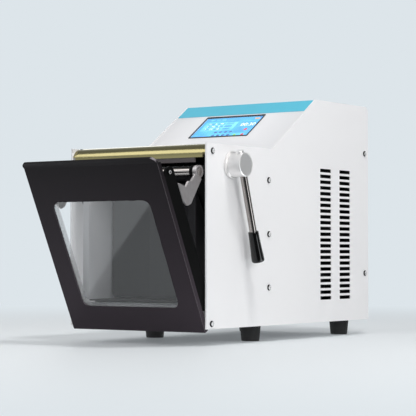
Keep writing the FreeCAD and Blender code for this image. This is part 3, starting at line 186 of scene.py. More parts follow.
white_coat = powder_coat("white_powder_coat", "#F2F1F1", "#EDECED", 0.42, 1.1, 0.03)
# painted shade: the housing's white, a shade darker on the top cover, against the stronger light
# on the slope
cover_coat_painted_shade = powder_coat("white_cover_coat", "#ECECEE", "#E8E8EA", 0.42, 1.1, 0.03)
black_coat = powder_coat("black_powder_coat", "#1B1619", "#211B1F", 0.46, 0.9, 0.03, 0.09)
# near-black; on the bulkhead and the drive frame inside it is painted shade
black_arm_coat = powder_coat("black_arm_coat", "#050505", "#070707", 0.50, 0.9, 0.03, 0.06)
lintel_coat = powder_coat("lintel_coat", "#6A6465", "#605B5C", 0.50, 0.9, 0.03, 0.3)
# painted shade: graphite for the chamber and paddles, darker than their steel, for the shade
# inside the closed chamber
graphite_shade_coat = powder_coat("graphite_inner_coat", "#232225", "#29282A", 0.55, 1.2, 0.03, 0.2)
print("powder coats", white_coat.name, black_coat.name, black_arm_coat.name, graphite_shade_coat.name)

# %% [markdown]
# The door's black isn't the same all over, and both changes are painted light.
# The door leans out and looks at the pale floor, so its foot is painted a shade
# lighter, a painted reflection of the floor, and its folded edges get a painted
# highlight, a thin lighter line. The first is a slow fade on height. The second
# is a share that the door's mesh carries as an attribute, which a later step
# works out from its normals: a fold is where a face turns from front to side.

# %% The door's painted floor reflection and painted fold highlight
SHARE_NAME = "second_colour"
# painted reflection: between these heights the black fades from its lighter foot to its dark top
door_foot, door_head = 0.05, 0.25   # heights in metres between which the black fades

tree = black_coat.node_tree
shader = tree.nodes["Principled BSDF"]
place = add(tree, "ShaderNodeTexCoord")
split = add(tree, "ShaderNodeSeparateXYZ", {0: place.outputs["Object"]})
height = add(tree, "ShaderNodeMapRange", {"Value": split.outputs["Z"], "From Min": door_foot,
             "From Max": door_head})
# painted reflection of the pale floor: lighter low down, darker up high
fade = add(tree, "ShaderNodeMix", {"Factor": height.outputs["Result"], 6: linear("#3B343A"),
           7: linear("#0C0A0C")}, data_type="RGBA")
# painted highlight: a lighter line along the door's folds
fold = add(tree, "ShaderNodeAttribute", attribute_name=SHARE_NAME)
painted_fold_highlight = add(tree, "ShaderNodeMix", {"Factor": fold.outputs["Fac"], 6: fade.outputs[2],
            7: linear("#8A8489")}, data_type="RGBA")
feed(tree, shader, {"Base Color": painted_fold_highlight.outputs[2]})
print("door fades between", door_foot, "and", door_head, "m")

# %% [markdown]
# The insides of the sheets are painted near-black: painted shade, which makes
# the vents look black from every side. The roof, the rear and the base are flat
# enough for the attribute to say which faces look inwards. The side panels are
# told apart by place instead: painted dark where a point lies inboard of the
# sheet, low enough and near enough to the vents. Their inner faces beside the
# open mouth stay white and get a faint painted glow, which stands for the light
# that bounces between them.

# %% White sheets, painted shade inside
# painted shade: the near-black of the sheets' insides
painted_inside_shade = "#0C0C0D"


def copied(base, name):
    """A copy of a material; returns it, tree, shader and what feeds its colour."""
    made = base.copy()
    made.name = name
    shader = made.node_tree.nodes["Principled BSDF"]
    return made, made.node_tree, shader, shader.inputs["Base Color"].links[0].from_socket


def two_faced(base, name, colour):
    """A copy of a coat with a second colour, here painted shade, where a piece's own attribute
    asks for it.
    """
    made, tree, shader, outside = copied(base, name)
    share = add(tree, "ShaderNodeAttribute", attribute_name=SHARE_NAME)
    sides = add(tree, "ShaderNodeMix", {"Factor": share.outputs["Fac"], 6: outside,
                7: linear(colour)}, data_type="RGBA")
    feed(tree, shader, {"Base Color": sides.outputs[2]})
    return made


sheet_coat = two_faced(white_coat, "white_sheet_coat", painted_inside_shade)
roof_coat = two_faced(cover_coat_painted_shade, "white_roof_coat", painted_inside_shade)
print("two-faced coats", sheet_coat.name, roof_coat.name)

# %% The side panels' coat, painted shade and painted glow
sheet_inside = 0.1083       # from the middle to between the sheet's faces, in metres
vents_back = at(0, 280, 0).y
vents_reach = 0.120         # how far before and behind that the inside is dark
roof_edge = at(0, 0, 229).z
# strength of the painted glow that stands for light bouncing between the inner faces by the
# mouth
mouth_glow = 0.2

panel_coat, tree, shader, outside = copied(white_coat, "white_panel_coat")
place = add(tree, "ShaderNodeTexCoord")
split = add(tree, "ShaderNodeSeparateXYZ", {0: place.outputs["Object"]})
off_middle = add(tree, "ShaderNodeMath", {0: split.outputs["X"], 1: -zero.x}, operation="ADD")
off_middle = add(tree, "ShaderNodeMath", {0: off_middle.outputs[0]}, operation="ABSOLUTE")
inboard = add(tree, "ShaderNodeMath", {0: off_middle.outputs[0], 1: sheet_inside},
              operation="LESS_THAN")
off_vents = add(tree, "ShaderNodeMath", {0: split.outputs["Y"], 1: -vents_back}, operation="ADD")
off_vents = add(tree, "ShaderNodeMath", {0: off_vents.outputs[0]}, operation="ABSOLUTE")
by_vents = add(tree, "ShaderNodeMath", {0: off_vents.outputs[0], 1: vents_reach},
               operation="LESS_THAN")
low_down = add(tree, "ShaderNodeMath", {0: split.outputs["Z"], 1: roof_edge},
               operation="LESS_THAN")
within = add(tree, "ShaderNodeMath", {0: inboard.outputs[0], 1: low_down.outputs[0]},
             operation="MULTIPLY")
# painted shade: the panel's inside is dark by the vents
vent_shade_mask = add(tree, "ShaderNodeMath", {0: within.outputs[0], 1: by_vents.outputs[0]},
             operation="MULTIPLY")
by_mouth = add(tree, "ShaderNodeMath", {0: within.outputs[0], 1: vent_shade_mask.outputs[0]},
               operation="SUBTRACT")
# painted glow on the inner faces by the mouth, for the light that bounces there
bounce = add(tree, "ShaderNodeMath", {0: by_mouth.outputs[0], 1: mouth_glow},
             operation="MULTIPLY")
coat_and_painted_shade = add(tree, "ShaderNodeMix", {"Factor": vent_shade_mask.outputs[0], 6: outside,
                 7: linear(painted_inside_shade)}, data_type="RGBA")
feed(tree, shader, {"Base Color": coat_and_painted_shade.outputs[2], "Emission Strength": bounce.outputs[0]})
shader.inputs["Emission Color"].default_value = linear("#F1F2F3")
print("panel coat", panel_coat.name, "with", len(tree.nodes), "nodes")

# %% [markdown]
# The chamber's liner is graphite too, painted shade like the paddles, but its
# left wall is painted pale, painted light where the wall is lit: through the
# window it is the light strip beside the dark paddles.

# %% The liner's painted light on its left wall
painted_light_wall = at(-79.8, 0, 0).x

liner_coat, tree, shader, dark = copied(graphite_shade_coat, "liner_coat")
place = add(tree, "ShaderNodeTexCoord")
split = add(tree, "ShaderNodeSeparateXYZ", {0: place.outputs["Object"]})
on_wall = add(tree, "ShaderNodeMath", {0: split.outputs["X"], 1: painted_light_wall},
              operation="LESS_THAN")
# painted light on the left wall, painted shade elsewhere
walls = add(tree, "ShaderNodeMix", {"Factor": on_wall.outputs[0], 6: dark,
            7: linear("#DAD9DB")}, data_type="RGBA")
feed(tree, shader, {"Base Color": walls.outputs[2]})
print("liner coat", liner_coat.name, "pale left of", round(painted_light_wall, 4))

# %% [markdown]
# ## Metals
#
# The bar over the mouth is extruded aluminium, anodised a pale gold: the die
# leaves hair-fine lines along its length, so the highlight runs along it as a
# crisp streak. The cross rod and the lever are chromed steel, nearly a mirror:
# such a mirror is mostly what stands round it, and its colour is set to a mid
# grey, darker than chrome's own, so that what it mirrors reads duller: painted
# shade in its reflection. The lamps draw its bright lines. Shafts and pins are
# machined steel, pulleys and crossheads mill aluminium, and bushes sintered
# bronze. Each one is the same recipe, a metal with streaks in its roughness and
# bump. The streaks differ in how long they are along each axis, which a Mapping
# node's scale sets in millimetres.

# %% Streaked metals


def streaked_metal(name, colour, roughness, grain, depth, uneven=0.08):
    """A metal whose grain is (x, y, z) long in millimetres along each axis."""
    made, tree, shader = surface(name, colour, roughness, 1.0)
    place = add(tree, "ShaderNodeTexCoord")
    stretch = add(tree, "ShaderNodeMapping", {"Vector": place.outputs["Object"],
                  "Scale": [per(side) for side in grain]})
    streaks = add(tree, "ShaderNodeTexNoise", {"Vector": stretch.outputs["Vector"],
                  "Scale": 1.0, "Detail": 3.0, "Roughness": 0.6})
    rough = add(tree, "ShaderNodeMapRange", {"Value": streaks.outputs["Fac"],
                "To Min": roughness - uneven, "To Max": roughness + uneven})
    bump = add(tree, "ShaderNodeBump", {"Height": streaks.outputs["Fac"],
               "Strength": 0.3, "Distance": depth / 1000})
    feed(tree, shader, {"Roughness": rough.outputs["Result"], "Normal": bump.outputs["Normal"]})
    return made


gold_anodised = streaked_metal("gold_anodised_aluminium", "#8C845F", 0.18, (200, 2.0, 2.0),
                               0.002, 0.03)
# painted shade: a mid grey, darker than chrome's own colour, dulls what the rod mirrors
chromed_steel = streaked_metal("chromed_steel", "#A39D9A", 0.10, (9, 9, 9), 0.004, 0.03)
mill_aluminium = streaked_metal("mill_aluminium", "#C3C5C7", 0.36, (12, 1.0, 1.0), 0.01)
machined_steel = streaked_metal("machined_steel", "#9C9D9F", 0.28, (0.5, 3, 3), 0.01)
sintered_bronze = streaked_metal("sintered_bronze", "#A58350", 0.42, (0.5, 0.5, 0.5), 0.02)
print("metals", gold_anodised.name, chromed_steel.name, mill_aluminium.name)

# %% [markdown]
# The hub is turned aluminium. Turning leaves rings, and rings need a centre. A
# Mapping node moves the hub's axis to zero, a wave texture then makes rings
# about X, and its pitch is the lathe's feed, drawn at a millimetre so that it
# still shows at this size. A wave texture repeats 20 times in a full turn of
# its scale, so the scale is worked out from the pitch. The hooks and collars
# are zinc-plated, a soft warm grey with a faint spangle.

# %% Turned aluminium and zinc plate
hub_low, hub_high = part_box("lever_hub")
hub_axis = Vector((0, (hub_low.y + hub_high.y) / 2, (hub_low.z + hub_high.z) / 2))
lathe_feed = 1.0            # millimetres from ring to ring
ring_depth = 0.00002        # metres

turned_aluminium, tree, shader = surface("turned_aluminium", "#F6F4F3", 0.40, 0.9)
place = add(tree, "ShaderNodeTexCoord")
centred = add(tree, "ShaderNodeMapping", {"Vector": place.outputs["Object"],
              "Location": -hub_axis})
rings = add(tree, "ShaderNodeTexWave", {"Vector": centred.outputs["Vector"],
            "Scale": math.tau / 20 * per(lathe_feed), "Distortion": 0.4, "Detail": 1.0},
            wave_type="RINGS", rings_direction="X")
rough = add(tree, "ShaderNodeMapRange", {"Value": rings.outputs["Fac"],
            "To Min": 0.34, "To Max": 0.46})
bump = add(tree, "ShaderNodeBump", {"Height": rings.outputs["Fac"], "Strength": 0.25,
           "Distance": ring_depth})
feed(tree, shader, {"Roughness": rough.outputs["Result"], "Normal": bump.outputs["Normal"]})

zinc_plate, tree, shader = surface("zinc_plate", "#C6C1C1", 0.40, 1.0)
place = add(tree, "ShaderNodeTexCoord")
spangle = add(tree, "ShaderNodeTexVoronoi", {"Vector": place.outputs["Object"],
              "Scale": per(2.4)})
cloud = add(tree, "ShaderNodeTexNoise", {"Vector": place.outputs["Object"],
            "Scale": per(7), "Detail": 3.0})
tint = add(tree, "ShaderNodeMix", {"Factor": cloud.outputs["Fac"], 6: linear("#BDB7B7"),
           7: linear("#D2CDCD")}, data_type="RGBA")
rough = add(tree, "ShaderNodeMapRange", {"Value": spangle.outputs["Distance"],
            "To Min": 0.34, "To Max": 0.50})
feed(tree, shader, {"Base Color": tint.outputs[2], "Roughness": rough.outputs["Result"]})
print("hub axis", [round(v, 4) for v in hub_axis])

# %% [markdown]
# A pan head is bright on its crown, which faces the room, and dark round its
# steep rim, which mirrors the shade beside it. At this size that ring is all
# the eye gets, so both are painted: the screw's mesh carries its crown as an
# attribute and the material turns from a painted dark reflection on the rim to
# a painted bright reflection on the crown.

# %% Screw steel
# painted reflection: a bright crown and a dark rim
screw_steel, tree, shader = surface("screw_steel", "#F4F4F4", 0.22)
crown = add(tree, "ShaderNodeAttribute", attribute_name=SHARE_NAME)
tint = add(tree, "ShaderNodeMix", {"Factor": crown.outputs["Fac"], 6: linear("#1B191A"),
           7: linear("#F6F6F6")}, data_type="RGBA")
rim_metal_share = add(tree, "ShaderNodeMapRange", {"Value": crown.outputs["Fac"], "To Min": 0.9,
           "To Max": 0.15})
feed(tree, shader, {"Base Color": tint.outputs[2], "Metallic": rim_metal_share.outputs["Result"]})
print("screw steel", screw_steel.name)

# %% [markdown]
# ## Plastics, rubber and film
#
# Moulded parts carry the texture of the mould: ABS a fine leathery grain, the
# rubber feet a duller and coarser one. The lever's grip is polished phenolic
# resin, the black of an old telephone, so it is glossy and has almost no grain.
# The seal behind the window is clear silicone: light falls through it. The
# strip on the slope is printed polyester film, satin and quite even.

# %% Grained plastics


def moulded(name, colour, shade, roughness, grain, depth, **more):
    """A moulded plastic or rubber with a cell-like grain, sized in millimetres."""
    made, tree, shader = surface(name, colour, roughness, ior=1.5, **more)
    place = add(tree, "ShaderNodeTexCoord")
    cells = add(tree, "ShaderNodeTexVoronoi", {"Vector": place.outputs["Object"],
                "Scale": per(grain)}, feature="SMOOTH_F1")
    cloud = add(tree, "ShaderNodeTexNoise", {"Vector": place.outputs["Object"],
                "Scale": per(9), "Detail": 2.0})
    tint = add(tree, "ShaderNodeMix", {"Factor": cloud.outputs["Fac"], 6: linear(colour),
               7: linear(shade)}, data_type="RGBA")
    bump = add(tree, "ShaderNodeBump", {"Height": cells.outputs["Distance"],
               "Strength": 0.4, "Distance": depth / 1000})
    feed(tree, shader, {"Base Color": tint.outputs[2], "Normal": bump.outputs["Normal"]})
    return made


abs_plastic = moulded("moulded_abs", "#19191B", "#1F1F21", 0.48, 0.7, 0.05)
foot_rubber = moulded("moulded_rubber", "#121213", "#1A191A", 0.72, 1.0, 0.08)
seal_silicone = moulded("clear_silicone", "#E9EAEB", "#E3E4E5", 0.4, 0.8, 0.02, alpha=0.3)
seal_rubber = moulded("extruded_rubber", "#151415", "#1B1A1B", 0.66, 0.8, 0.05)
phenolic = moulded("polished_phenolic", "#050505", "#070707", 0.07, 3.0, 0.002,
                   specular_ior_level=0.5)
teal_film = moulded("printed_polyester", "#55C0DA", "#51BBD5", 0.34, 0.5, 0.008)
circuit_board = moulded("circuit_board", "#1E5A36", "#1A4E30", 0.40, 1.2, 0.02)
motor_enamel = moulded("motor_enamel", "#2C2D30", "#313236", 0.42, 1.4, 0.04)
print("plastics", abs_plastic.name, foot_rubber.name, phenolic.name, teal_film.name)

# %% [markdown]
# ## Glass
#
# The door's window is a clear acrylic pane: what the eye reads in it is mostly
# its reflection of the room, over whatever dark shapes lie behind. A plain
# transmissive shader does both. The display's cover is thinner, and a
# see-through shader with a gloss keeps the screen under it bright, where real
# refraction would cost light and show nothing more. Both carry a faint haze,
# as a pane does that has been wiped by hand.

# %% Window and cover glass


def wiped(name, colour, smear, detail, haze, **more):
    """A clear pane with smears of a size in millimetres; haze is their (least, most)."""
    made, tree, shader = surface(name, colour, haze[0], **more)
    place = add(tree, "ShaderNodeTexCoord")
    smears = add(tree, "ShaderNodeTexNoise", {"Vector": place.outputs["Object"],
                 "Scale": per(smear), "Detail": detail})
    rough = add(tree, "ShaderNodeMapRange", {"Value": smears.outputs["Fac"],
                "To Min": haze[0], "To Max": haze[1]})
    feed(tree, shader, {"Roughness": rough.outputs["Result"]})
    return made


window_acrylic = wiped("window_acrylic", "#F4F5F6", 40, 3.0, (0.0, 0.05), ior=1.49,
                       transmission_weight=1.0)
cover_glass = wiped("cover_glass", "#FFFFFF", 18, 2.0, (0.03, 0.10), ior=1.5, alpha=0.12)
print("glass", window_acrylic.name, cover_glass.name)

# %% [markdown]
# ## Dressing a CAD node
#
# A node that already has the right shape could simply get a material. Two
# things still give it away as CAD: its edges are perfectly sharp, so no edge
# ever catches the light, and its round faces are loose flat triangles. So the
# pieces that show are copied, their corners merged, a narrow bevel run round
# their edges and their round faces shaded smooth. The copy stands where the
# node stands, because a node's place is in its mesh. What hides inside the
# housing keeps its CAD mesh and only gets its material.

# %% Pieces in the scene
made_pieces = []


def in_scene(name, data):
    """A new object that holds a mesh, a curve, a lamp or a camera, in the scene."""
    made = bpy.data.objects.new(name, data)
    bpy.context.scene.collection.objects.link(made)
    return made


def piece(name, mesh, body, material=None, replaces=()):
    """Put a finished mesh in the scene as a piece that rides on a body."""
    shown = in_scene(name, mesh)
    if material:
        mesh.materials.clear()
        mesh.materials.append(material)
    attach(shown, body)
    if replaces:
        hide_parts(*replaces)
    made_pieces.append(shown)
    return shown


def settled(carrier):
    """Apply everything on an object: its evaluated shape as a plain mesh."""
    depsgraph = bpy.context.evaluated_depsgraph_get()
    mesh = bpy.data.meshes.new_from_object(carrier.evaluated_get(depsgraph))
    bpy.data.objects.remove(carrier)
    return mesh


print("pieces", len(made_pieces))

# %% Soft edges and smooth faces
weld_distance = 2e-6        # metres: the corners of loose triangles that are one corner
flat_within = 0.6           # degrees: faces that a CAD export split but that are one face
fold_above = 40             # degrees: edges sharper than this get a bevel


def smooth_by_angle(mesh, degrees=35):
    """Shade smooth, but keep edges sharper than an angle crisp."""
    work = bmesh.new()
    work.from_mesh(mesh)
    for face in work.faces:
        face.smooth = True
    for edge in work.edges:
        gentle = len(edge.link_faces) == 2 and edge.calc_face_angle(0) < math.radians(degrees)
        edge.smooth = gentle
    work.to_mesh(mesh)
    work.free()


def bevelled(mesh, width):
    """Round every sharp edge over a width in millimetres."""
    carrier = in_scene("carrier", mesh)
    soft = carrier.modifiers.new("soft_edges", "BEVEL")
    soft.width = width / 1000
    soft.segments = 3
    soft.limit_method = "ANGLE"
    soft.angle_limit = math.radians(fold_above)
    soft.use_clamp_overlap = True
    return settled(carrier)


def evened(mesh):
    """Keep big flat faces flat in their shading beside a smooth bevel."""
    carrier = in_scene("carrier", mesh)
    level = carrier.modifiers.new("even_shading", "WEIGHTED_NORMAL")
    level.keep_sharp = True
    level.weight = 100
    return settled(carrier)


def dressed(node, material, bevel=0.0):
    """A copy of a CAD node with merged corners, soft edges and a material."""
    work = bmesh.new()
    work.from_mesh(nodes[node].data)
    bmesh.ops.remove_doubles(work, verts=work.verts, dist=weld_distance)
    bmesh.ops.dissolve_limit(work, angle_limit=math.radians(flat_within),
                             verts=work.verts, edges=work.edges)
    mesh = bpy.data.meshes.new(node + "_dressed")
    work.to_mesh(mesh)
    work.free()
    if bevel:
        mesh = bevelled(mesh, bevel)
    smooth_by_angle(mesh)
    mesh = evened(mesh)
    return piece(node + "_dressed", mesh, body_of_node[node], material,
                 replaces=(node,))


def coated(node, material):
    """Give a CAD node that keeps its own mesh a material."""
    mesh = nodes[node].data
    if not mesh.materials:
        mesh.materials.append(material)
    for index in range(len(mesh.materials)):
        mesh.materials[index] = material


print("edges over", fold_above, "degrees get a bevel")

# %% [markdown]
# Where a piece has two colours, each corner of its mesh stores a share that its
# own normal decides, under the name that the two-coloured finishes read. Vertex
# groups or a painted image could do this too, but a rule on the normal needs no
# painting and stays right when a size changes.

# %% The second colour's shares


def marked(mesh, rule):
    """Store each corner's share of a second colour, which a rule takes from its normal."""
    shares = mesh.attributes.new(SHARE_NAME, "FLOAT", "CORNER")
    shares.data.foreach_set("value", [min(max(rule(corner.vector), 0.0), 1.0)
                                      for corner in mesh.corner_normals])


print("share of a second colour:", SHARE_NAME)

# %% [markdown]
# ## The housing
#
# Two side panels, a bent top cover and a rear panel, all 2 mm sheet. In the
# photograph the side panel's edge stands a little above the slope and catches
# the light as a thin white line, which the bevel gives back. The vents are
# plain laser-cut slots. Once a sheet is dressed, its corners are marked where
# they look inwards, for the painted shade inside: down on the roof, forward on
# the rear, up on the base.

# %% Housing sheets
for node in ("right_side_panel", "left_side_panel"):
    dressed(node, panel_coat, bevel=0.4)
roof = dressed("top_cover", roof_coat, bevel=0.4)
# the faces that look inwards get the painted shade
marked(roof.data, lambda normal: normal.z < -0.3)
rear = dressed("rear_panel", sheet_coat, bevel=0.4)
marked(rear.data, lambda normal: normal.y < -0.5)
base = dressed("base_plate", sheet_coat, bevel=0.3)
marked(base.data, lambda normal: normal.z > 0.5)
dressed("nose_profile", gold_anodised)
dressed("lintel", lintel_coat, bevel=0.5)
print("housing sheets", len(made_pieces))

# %% [markdown]
# ## The door
#
# A shallow tray of black sheet with a lip along its top to pull it by and a
# rounded window, whose pane lies flush with the face. Its long edges are
# folded, so they get a wider bevel than the housing's cut edges. A fold's
# normal points both forwards and sideways, so the product of the two marks
# it for the painted highlight. The arms are the same steel in a plainer,
# blacker coat.

# %% Door pieces
# where the painted fold highlight starts and how fast it grows
fold_from, fold_over = 0.12, 0.24
door = dressed("door_shell", black_coat, bevel=0.7)
marked(door.data, lambda normal: (-normal.x * normal.y - fold_from) / fold_over)
dressed("door_arms", black_arm_coat, bevel=0.35)
dressed("window_gasket", seal_rubber, bevel=0.3)
dressed("door_seal", seal_silicone, bevel=0.5)
coated("door_window", window_acrylic)
print("door faces", len(door.data.polygons))

# %% [markdown]
# ## Latch and lever
#
# The chromed cross rod carries a zinc-plated collar and hook at each end. The
# door's pins, which the hooks catch, are black with a bright ring round their
# hollow ends.

# %% Latch
dressed("latch_rod", chromed_steel, bevel=0.5)
dressed("latch_collars", zinc_plate, bevel=0.5)
dressed("latch_hooks", zinc_plate, bevel=0.4)
dressed("latch_pins", black_arm_coat, bevel=0.25)
dressed("hinge_pins", machined_steel, bevel=0.3)
print("latch pieces so far", len(made_pieces))

# %% [markdown]
# What is turned on a lathe is made from plain numbers. One function closes a
# mesh from its corners and faces, and a second one turns a profile about an
# axis. A Screw modifier could do that as well, but a function gives the mesh at
# its place at once, with its ends closed.

# %% Shapes from numbers
same_corner = 1e-7          # metres: corners nearer than this are merged


def shape(name, corners, faces):
    """A mesh from corners and faces, with its normals turned outwards."""
    work = bmesh.new()
    placed = [work.verts.new(corner) for corner in corners]
    for face in faces:
        work.faces.new([placed[index] for index in face])
    bmesh.ops.remove_doubles(work, verts=work.verts, dist=same_corner)
    bmesh.ops.recalc_face_normals(work, faces=work.faces)
    mesh = bpy.data.meshes.new(name)
    work.to_mesh(mesh)
    work.free()
    return mesh


def turned(name, start, along, profile, steps):
    """A solid of revolution: profile holds (distance along, radius) in millimetres."""
    along = Vector(along).normalized()
    side = along.orthogonal().normalized()
    other = along.cross(side)
    corners, faces = [], []
    for distance, radius in profile:
        for step in range(steps):
            turn = math.tau * step / steps
            ring = (side * math.cos(turn) + other * math.sin(turn)) * radius / 1000
            corners.append(Vector(start) + along * distance / 1000 + ring)
    for row in range(len(profile) - 1):
        for step in range(steps):
            after = (step + 1) % steps
            faces.append((row * steps + step, row * steps + after,
                          (row + 1) * steps + after, (row + 1) * steps + step))
    faces.append(tuple(range(steps)))
    faces.append(tuple((len(profile) - 1) * steps + step for step in range(steps)))
    return shape(name, corners, faces)


print("corners merge within", same_corner, "m")

# %% The bright rings of the pins' hollow ends
ring_profile = [(0, 2.5), (0.3, 2.4), (0.35, 1.9)]      # (distance along, radius) in mm
hollow_profile = [(0, 1.3), (0.4, 1.3)]
ring_sunk = 0.0002                                      # metres inside the pin's end

pins_low, pins_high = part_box("latch_pins")
pin_line = ((pins_low.y + pins_high.y) / 2, (pins_low.z + pins_high.z) / 2)
for side, word, reach in ((1, "right", pins_high.x), (-1, "left", pins_low.x)):
    end = Vector((reach - side * ring_sunk, *pin_line))
    ring = turned("pin_ring_" + word, end, (side, 0, 0), ring_profile, steps=32)
    hollow = turned("pin_hollow_" + word, end, (side, 0, 0), hollow_profile, steps=24)
    for name, mesh, finish in (("pin_ring_", ring, turned_aluminium),
                               ("pin_hollow_", hollow, black_arm_coat)):
        smooth_by_angle(mesh)
        piece(name + word, mesh, "door", finish)
print("pin ends at", round(pins_low.x, 4), "and", round(pins_high.x, 4))

# %% [markdown]
# The lever's hub, rod and grip are lathe work, so they are made the way a lathe
# makes them: a profile of distances and radii, turned about an axis. That gives
# true round faces, the small steps of the hub and the grip's slow swell towards
# its end. The rod leans back by the CAD rod's angle and runs through the hub,
# where a small cap covers its upper end.

# %% Lever hub, rod and grip
hub_profile = [(0, 16.9), (0.4, 17.4), (3.6, 17.4), (4.0, 17.0), (4.1, 15.7), (4.6, 15.5),
               (21.6, 15.5), (22.3, 15.2), (22.7, 14.5), (22.7, 13.6), (22.55, 13.4),
               (22.5, 6.0), (22.5, 0.4)]
rod_profile = [(-14, 0.4), (-14, 4.8), (89.5, 4.8), (89.5, 0.4)]
cap_profile = [(13.0, 5.6), (17.4, 5.6), (18.1, 5.1), (18.45, 4.2), (18.5, 0.4)]
grip_profile = [(88.8, 4.9), (88.9, 5.9), (89.3, 6.5), (90.2, 6.75), (96, 6.85), (104, 7.15),
                (112, 7.6), (120, 8.1), (125, 8.36), (127.4, 8.42), (128.8, 8.05),
                (129.6, 7.2), (130, 5.6), (130.1, 3.0), (130.1, 0.4)]

hub_start = Vector((hub_low.x, hub_axis.y, hub_axis.z))
rod_low, rod_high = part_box("lever_rod")
rod_start = Vector(((rod_low.x + rod_high.x) / 2, hub_axis.y, hub_axis.z))
lever_lean = math.radians(17.3)
lever_down = Vector((0, math.sin(lever_lean), -math.cos(lever_lean)))


def lever_piece(name, start, along, profile, steps, crisp, finish, replaces=()):
    """Turn a piece of the lever; crisp is the angle above which an edge stays sharp."""
    mesh = turned(name, start, along, profile, steps=steps)
    smooth_by_angle(mesh, crisp)
    print(name, len(mesh.polygons), "faces")
    return piece(name, mesh, "lever", finish, replaces)


lever_piece("lever_hub_turned", hub_start, (1, 0, 0), hub_profile, 96, 25, turned_aluminium,
            ("lever_hub",))
lever_piece("lever_grip_turned", rod_start, lever_down, grip_profile, 72, 50, phenolic,
            ("lever_grip",))
lever_piece("lever_rod_turned", rod_start, lever_down, rod_profile, 48, 35, chromed_steel,
            ("lever_rod",))
lever_piece("lever_cap", rod_start, -lever_down, cap_profile, 48, 50, turned_aluminium)

# %% [markdown]
# ## Feet, and what frames the display
#
# The feet are moulded rubber, cones that widen upwards, screwed on from below.
# A mould leaves a rounded rim, so they get the widest bevel on the machine. The
# display has a moulded bezel and a cover glass, and a plain strip of film is
# stuck on the slope.

# %% Feet, bezel, strip and cover glass
dressed("rubber_feet", foot_rubber, bevel=1.0)
dressed("display_bezel", abs_plastic, bevel=0.3)
dressed("label_strip", teal_film, bevel=0.15)
coated("display_glass", cover_glass)
print("pieces", len(made_pieces))

# %% [markdown]
# ## Screws, grown with Geometry Nodes
#
# Seven pan-head screws hold each side panel. They are one screw, repeated, so a
# node tree sets one screw on each point of a carrier mesh, turns it to face
# along that point's own direction and gives each a spin of its own, because
# nobody lines up a cross recess by hand. The spin's seed is fixed, so every run
# gives the same screws. The head is turned, its cross recess is cut out of it
# with a boolean, and its crown is marked for the painted bright reflection of
# the screw steel.

# %% One pan-head screw
# the head's profile and its recess, as shares of the head's radius
dome = [(0.0, 0.95), (0.05, 1.0), (0.15, 0.985), (0.28, 0.92), (0.38, 0.80),
        (0.46, 0.62), (0.505, 0.42), (0.523, 0.20), (0.528, 0.02)]
recess_long, recess_wide, recess_tall, recess_middle = 0.86, 0.15, 0.6, 0.62
# where the painted bright reflection on the crown starts and how fast it grows
crown_from, crown_over = 0.88, 0.08


def pan_head():
    """A pan head 1 m in radius, facing +Z, with a cross recess cut in it."""
    in_millimetres = [(distance * 1000, radius * 1000) for distance, radius in dome]
    head = in_scene("head", turned("head", (0, 0, 0), (0, 0, 1), in_millimetres, steps=32))
    cross = bmesh.new()
    for turn in (0, math.pi / 2):
        bar = bmesh.ops.create_cube(cross, size=1.0)["verts"]
        bmesh.ops.scale(cross, vec=(recess_long, recess_wide, recess_tall), verts=bar)
        bmesh.ops.rotate(cross, cent=(0, 0, 0), matrix=Matrix.Rotation(turn, 3, "Z"), verts=bar)
        bmesh.ops.translate(cross, vec=(0, 0, recess_middle), verts=bar)
    cutter_mesh = bpy.data.meshes.new("cross")
    cross.to_mesh(cutter_mesh)
    cross.free()
    cutter = in_scene("cross", cutter_mesh)
    cut = head.modifiers.new("recess", "BOOLEAN")
    cut.operation = "DIFFERENCE"
    cut.solver = "EXACT"
    cut.use_self = True
    cut.object = cutter
    mesh = settled(head)
    bpy.data.objects.remove(cutter)
    smooth_by_angle(mesh)
    marked(mesh, lambda normal: (normal.z - crown_from) / crown_over)
    return mesh


screw_head = in_scene("screw_head", pan_head())
print("screw faces", len(screw_head.data.polygons))

# %% The tree that sets screws


def interface(tree, inputs):
    """Name a tree's inputs, with its geometry in and out."""
    tree.interface.new_socket("Geometry", in_out="OUTPUT", socket_type="NodeSocketGeometry")
    tree.interface.new_socket("Geometry", in_out="INPUT", socket_type="NodeSocketGeometry")
    for word, kind in inputs:
        tree.interface.new_socket(word, in_out="INPUT", socket_type=kind)
    return tree.nodes.new("NodeGroupInput"), tree.nodes.new("NodeGroupOutput")


def grown(carrier, tree, values):
    """Run a tree on a carrier and hand back its result as a plain mesh."""
    modifier = carrier.modifiers.new("grow", "NODES")
    modifier.node_group = tree
    for item in tree.interface.items_tree:
        if item.in_out == "INPUT" and item.name in values:
            modifier[item.identifier] = values[item.name]
    return settled(carrier)


screw_tree = bpy.data.node_groups.new("set_screws", "GeometryNodeTree")
given, result = interface(screw_tree, [("Screw", "NodeSocketObject"),
                                       ("Head radius", "NodeSocketFloat"),
                                       ("Seed", "NodeSocketInt"),
                                       ("Finish", "NodeSocketMaterial")])
model = add(screw_tree, "GeometryNodeObjectInfo", {"Object": given.outputs["Screw"]})
facing = add(screw_tree, "GeometryNodeInputNamedAttribute", {"Name": "facing"},
             data_type="FLOAT_VECTOR")
aim = add(screw_tree, "FunctionNodeAlignRotationToVector",
          {"Vector": facing.outputs["Attribute"]}, axis="Z")
spin = add(screw_tree, "FunctionNodeRandomValue", {3: math.tau, "Seed": given.outputs["Seed"]},
           data_type="FLOAT")
about = add(screw_tree, "FunctionNodeAxisAngleToRotation",
            {"Axis": (0, 0, 1), "Angle": spin.outputs[1]})
both = add(screw_tree, "FunctionNodeRotateRotation", {"Rotation": aim.outputs["Rotation"],
           "Rotate By": about.outputs["Rotation"]}, rotation_space="LOCAL")
placed = add(screw_tree, "GeometryNodeInstanceOnPoints",
             {"Points": given.outputs["Geometry"], "Instance": model.outputs["Geometry"],
              "Rotation": both.outputs["Rotation"], "Scale": given.outputs["Head radius"]})
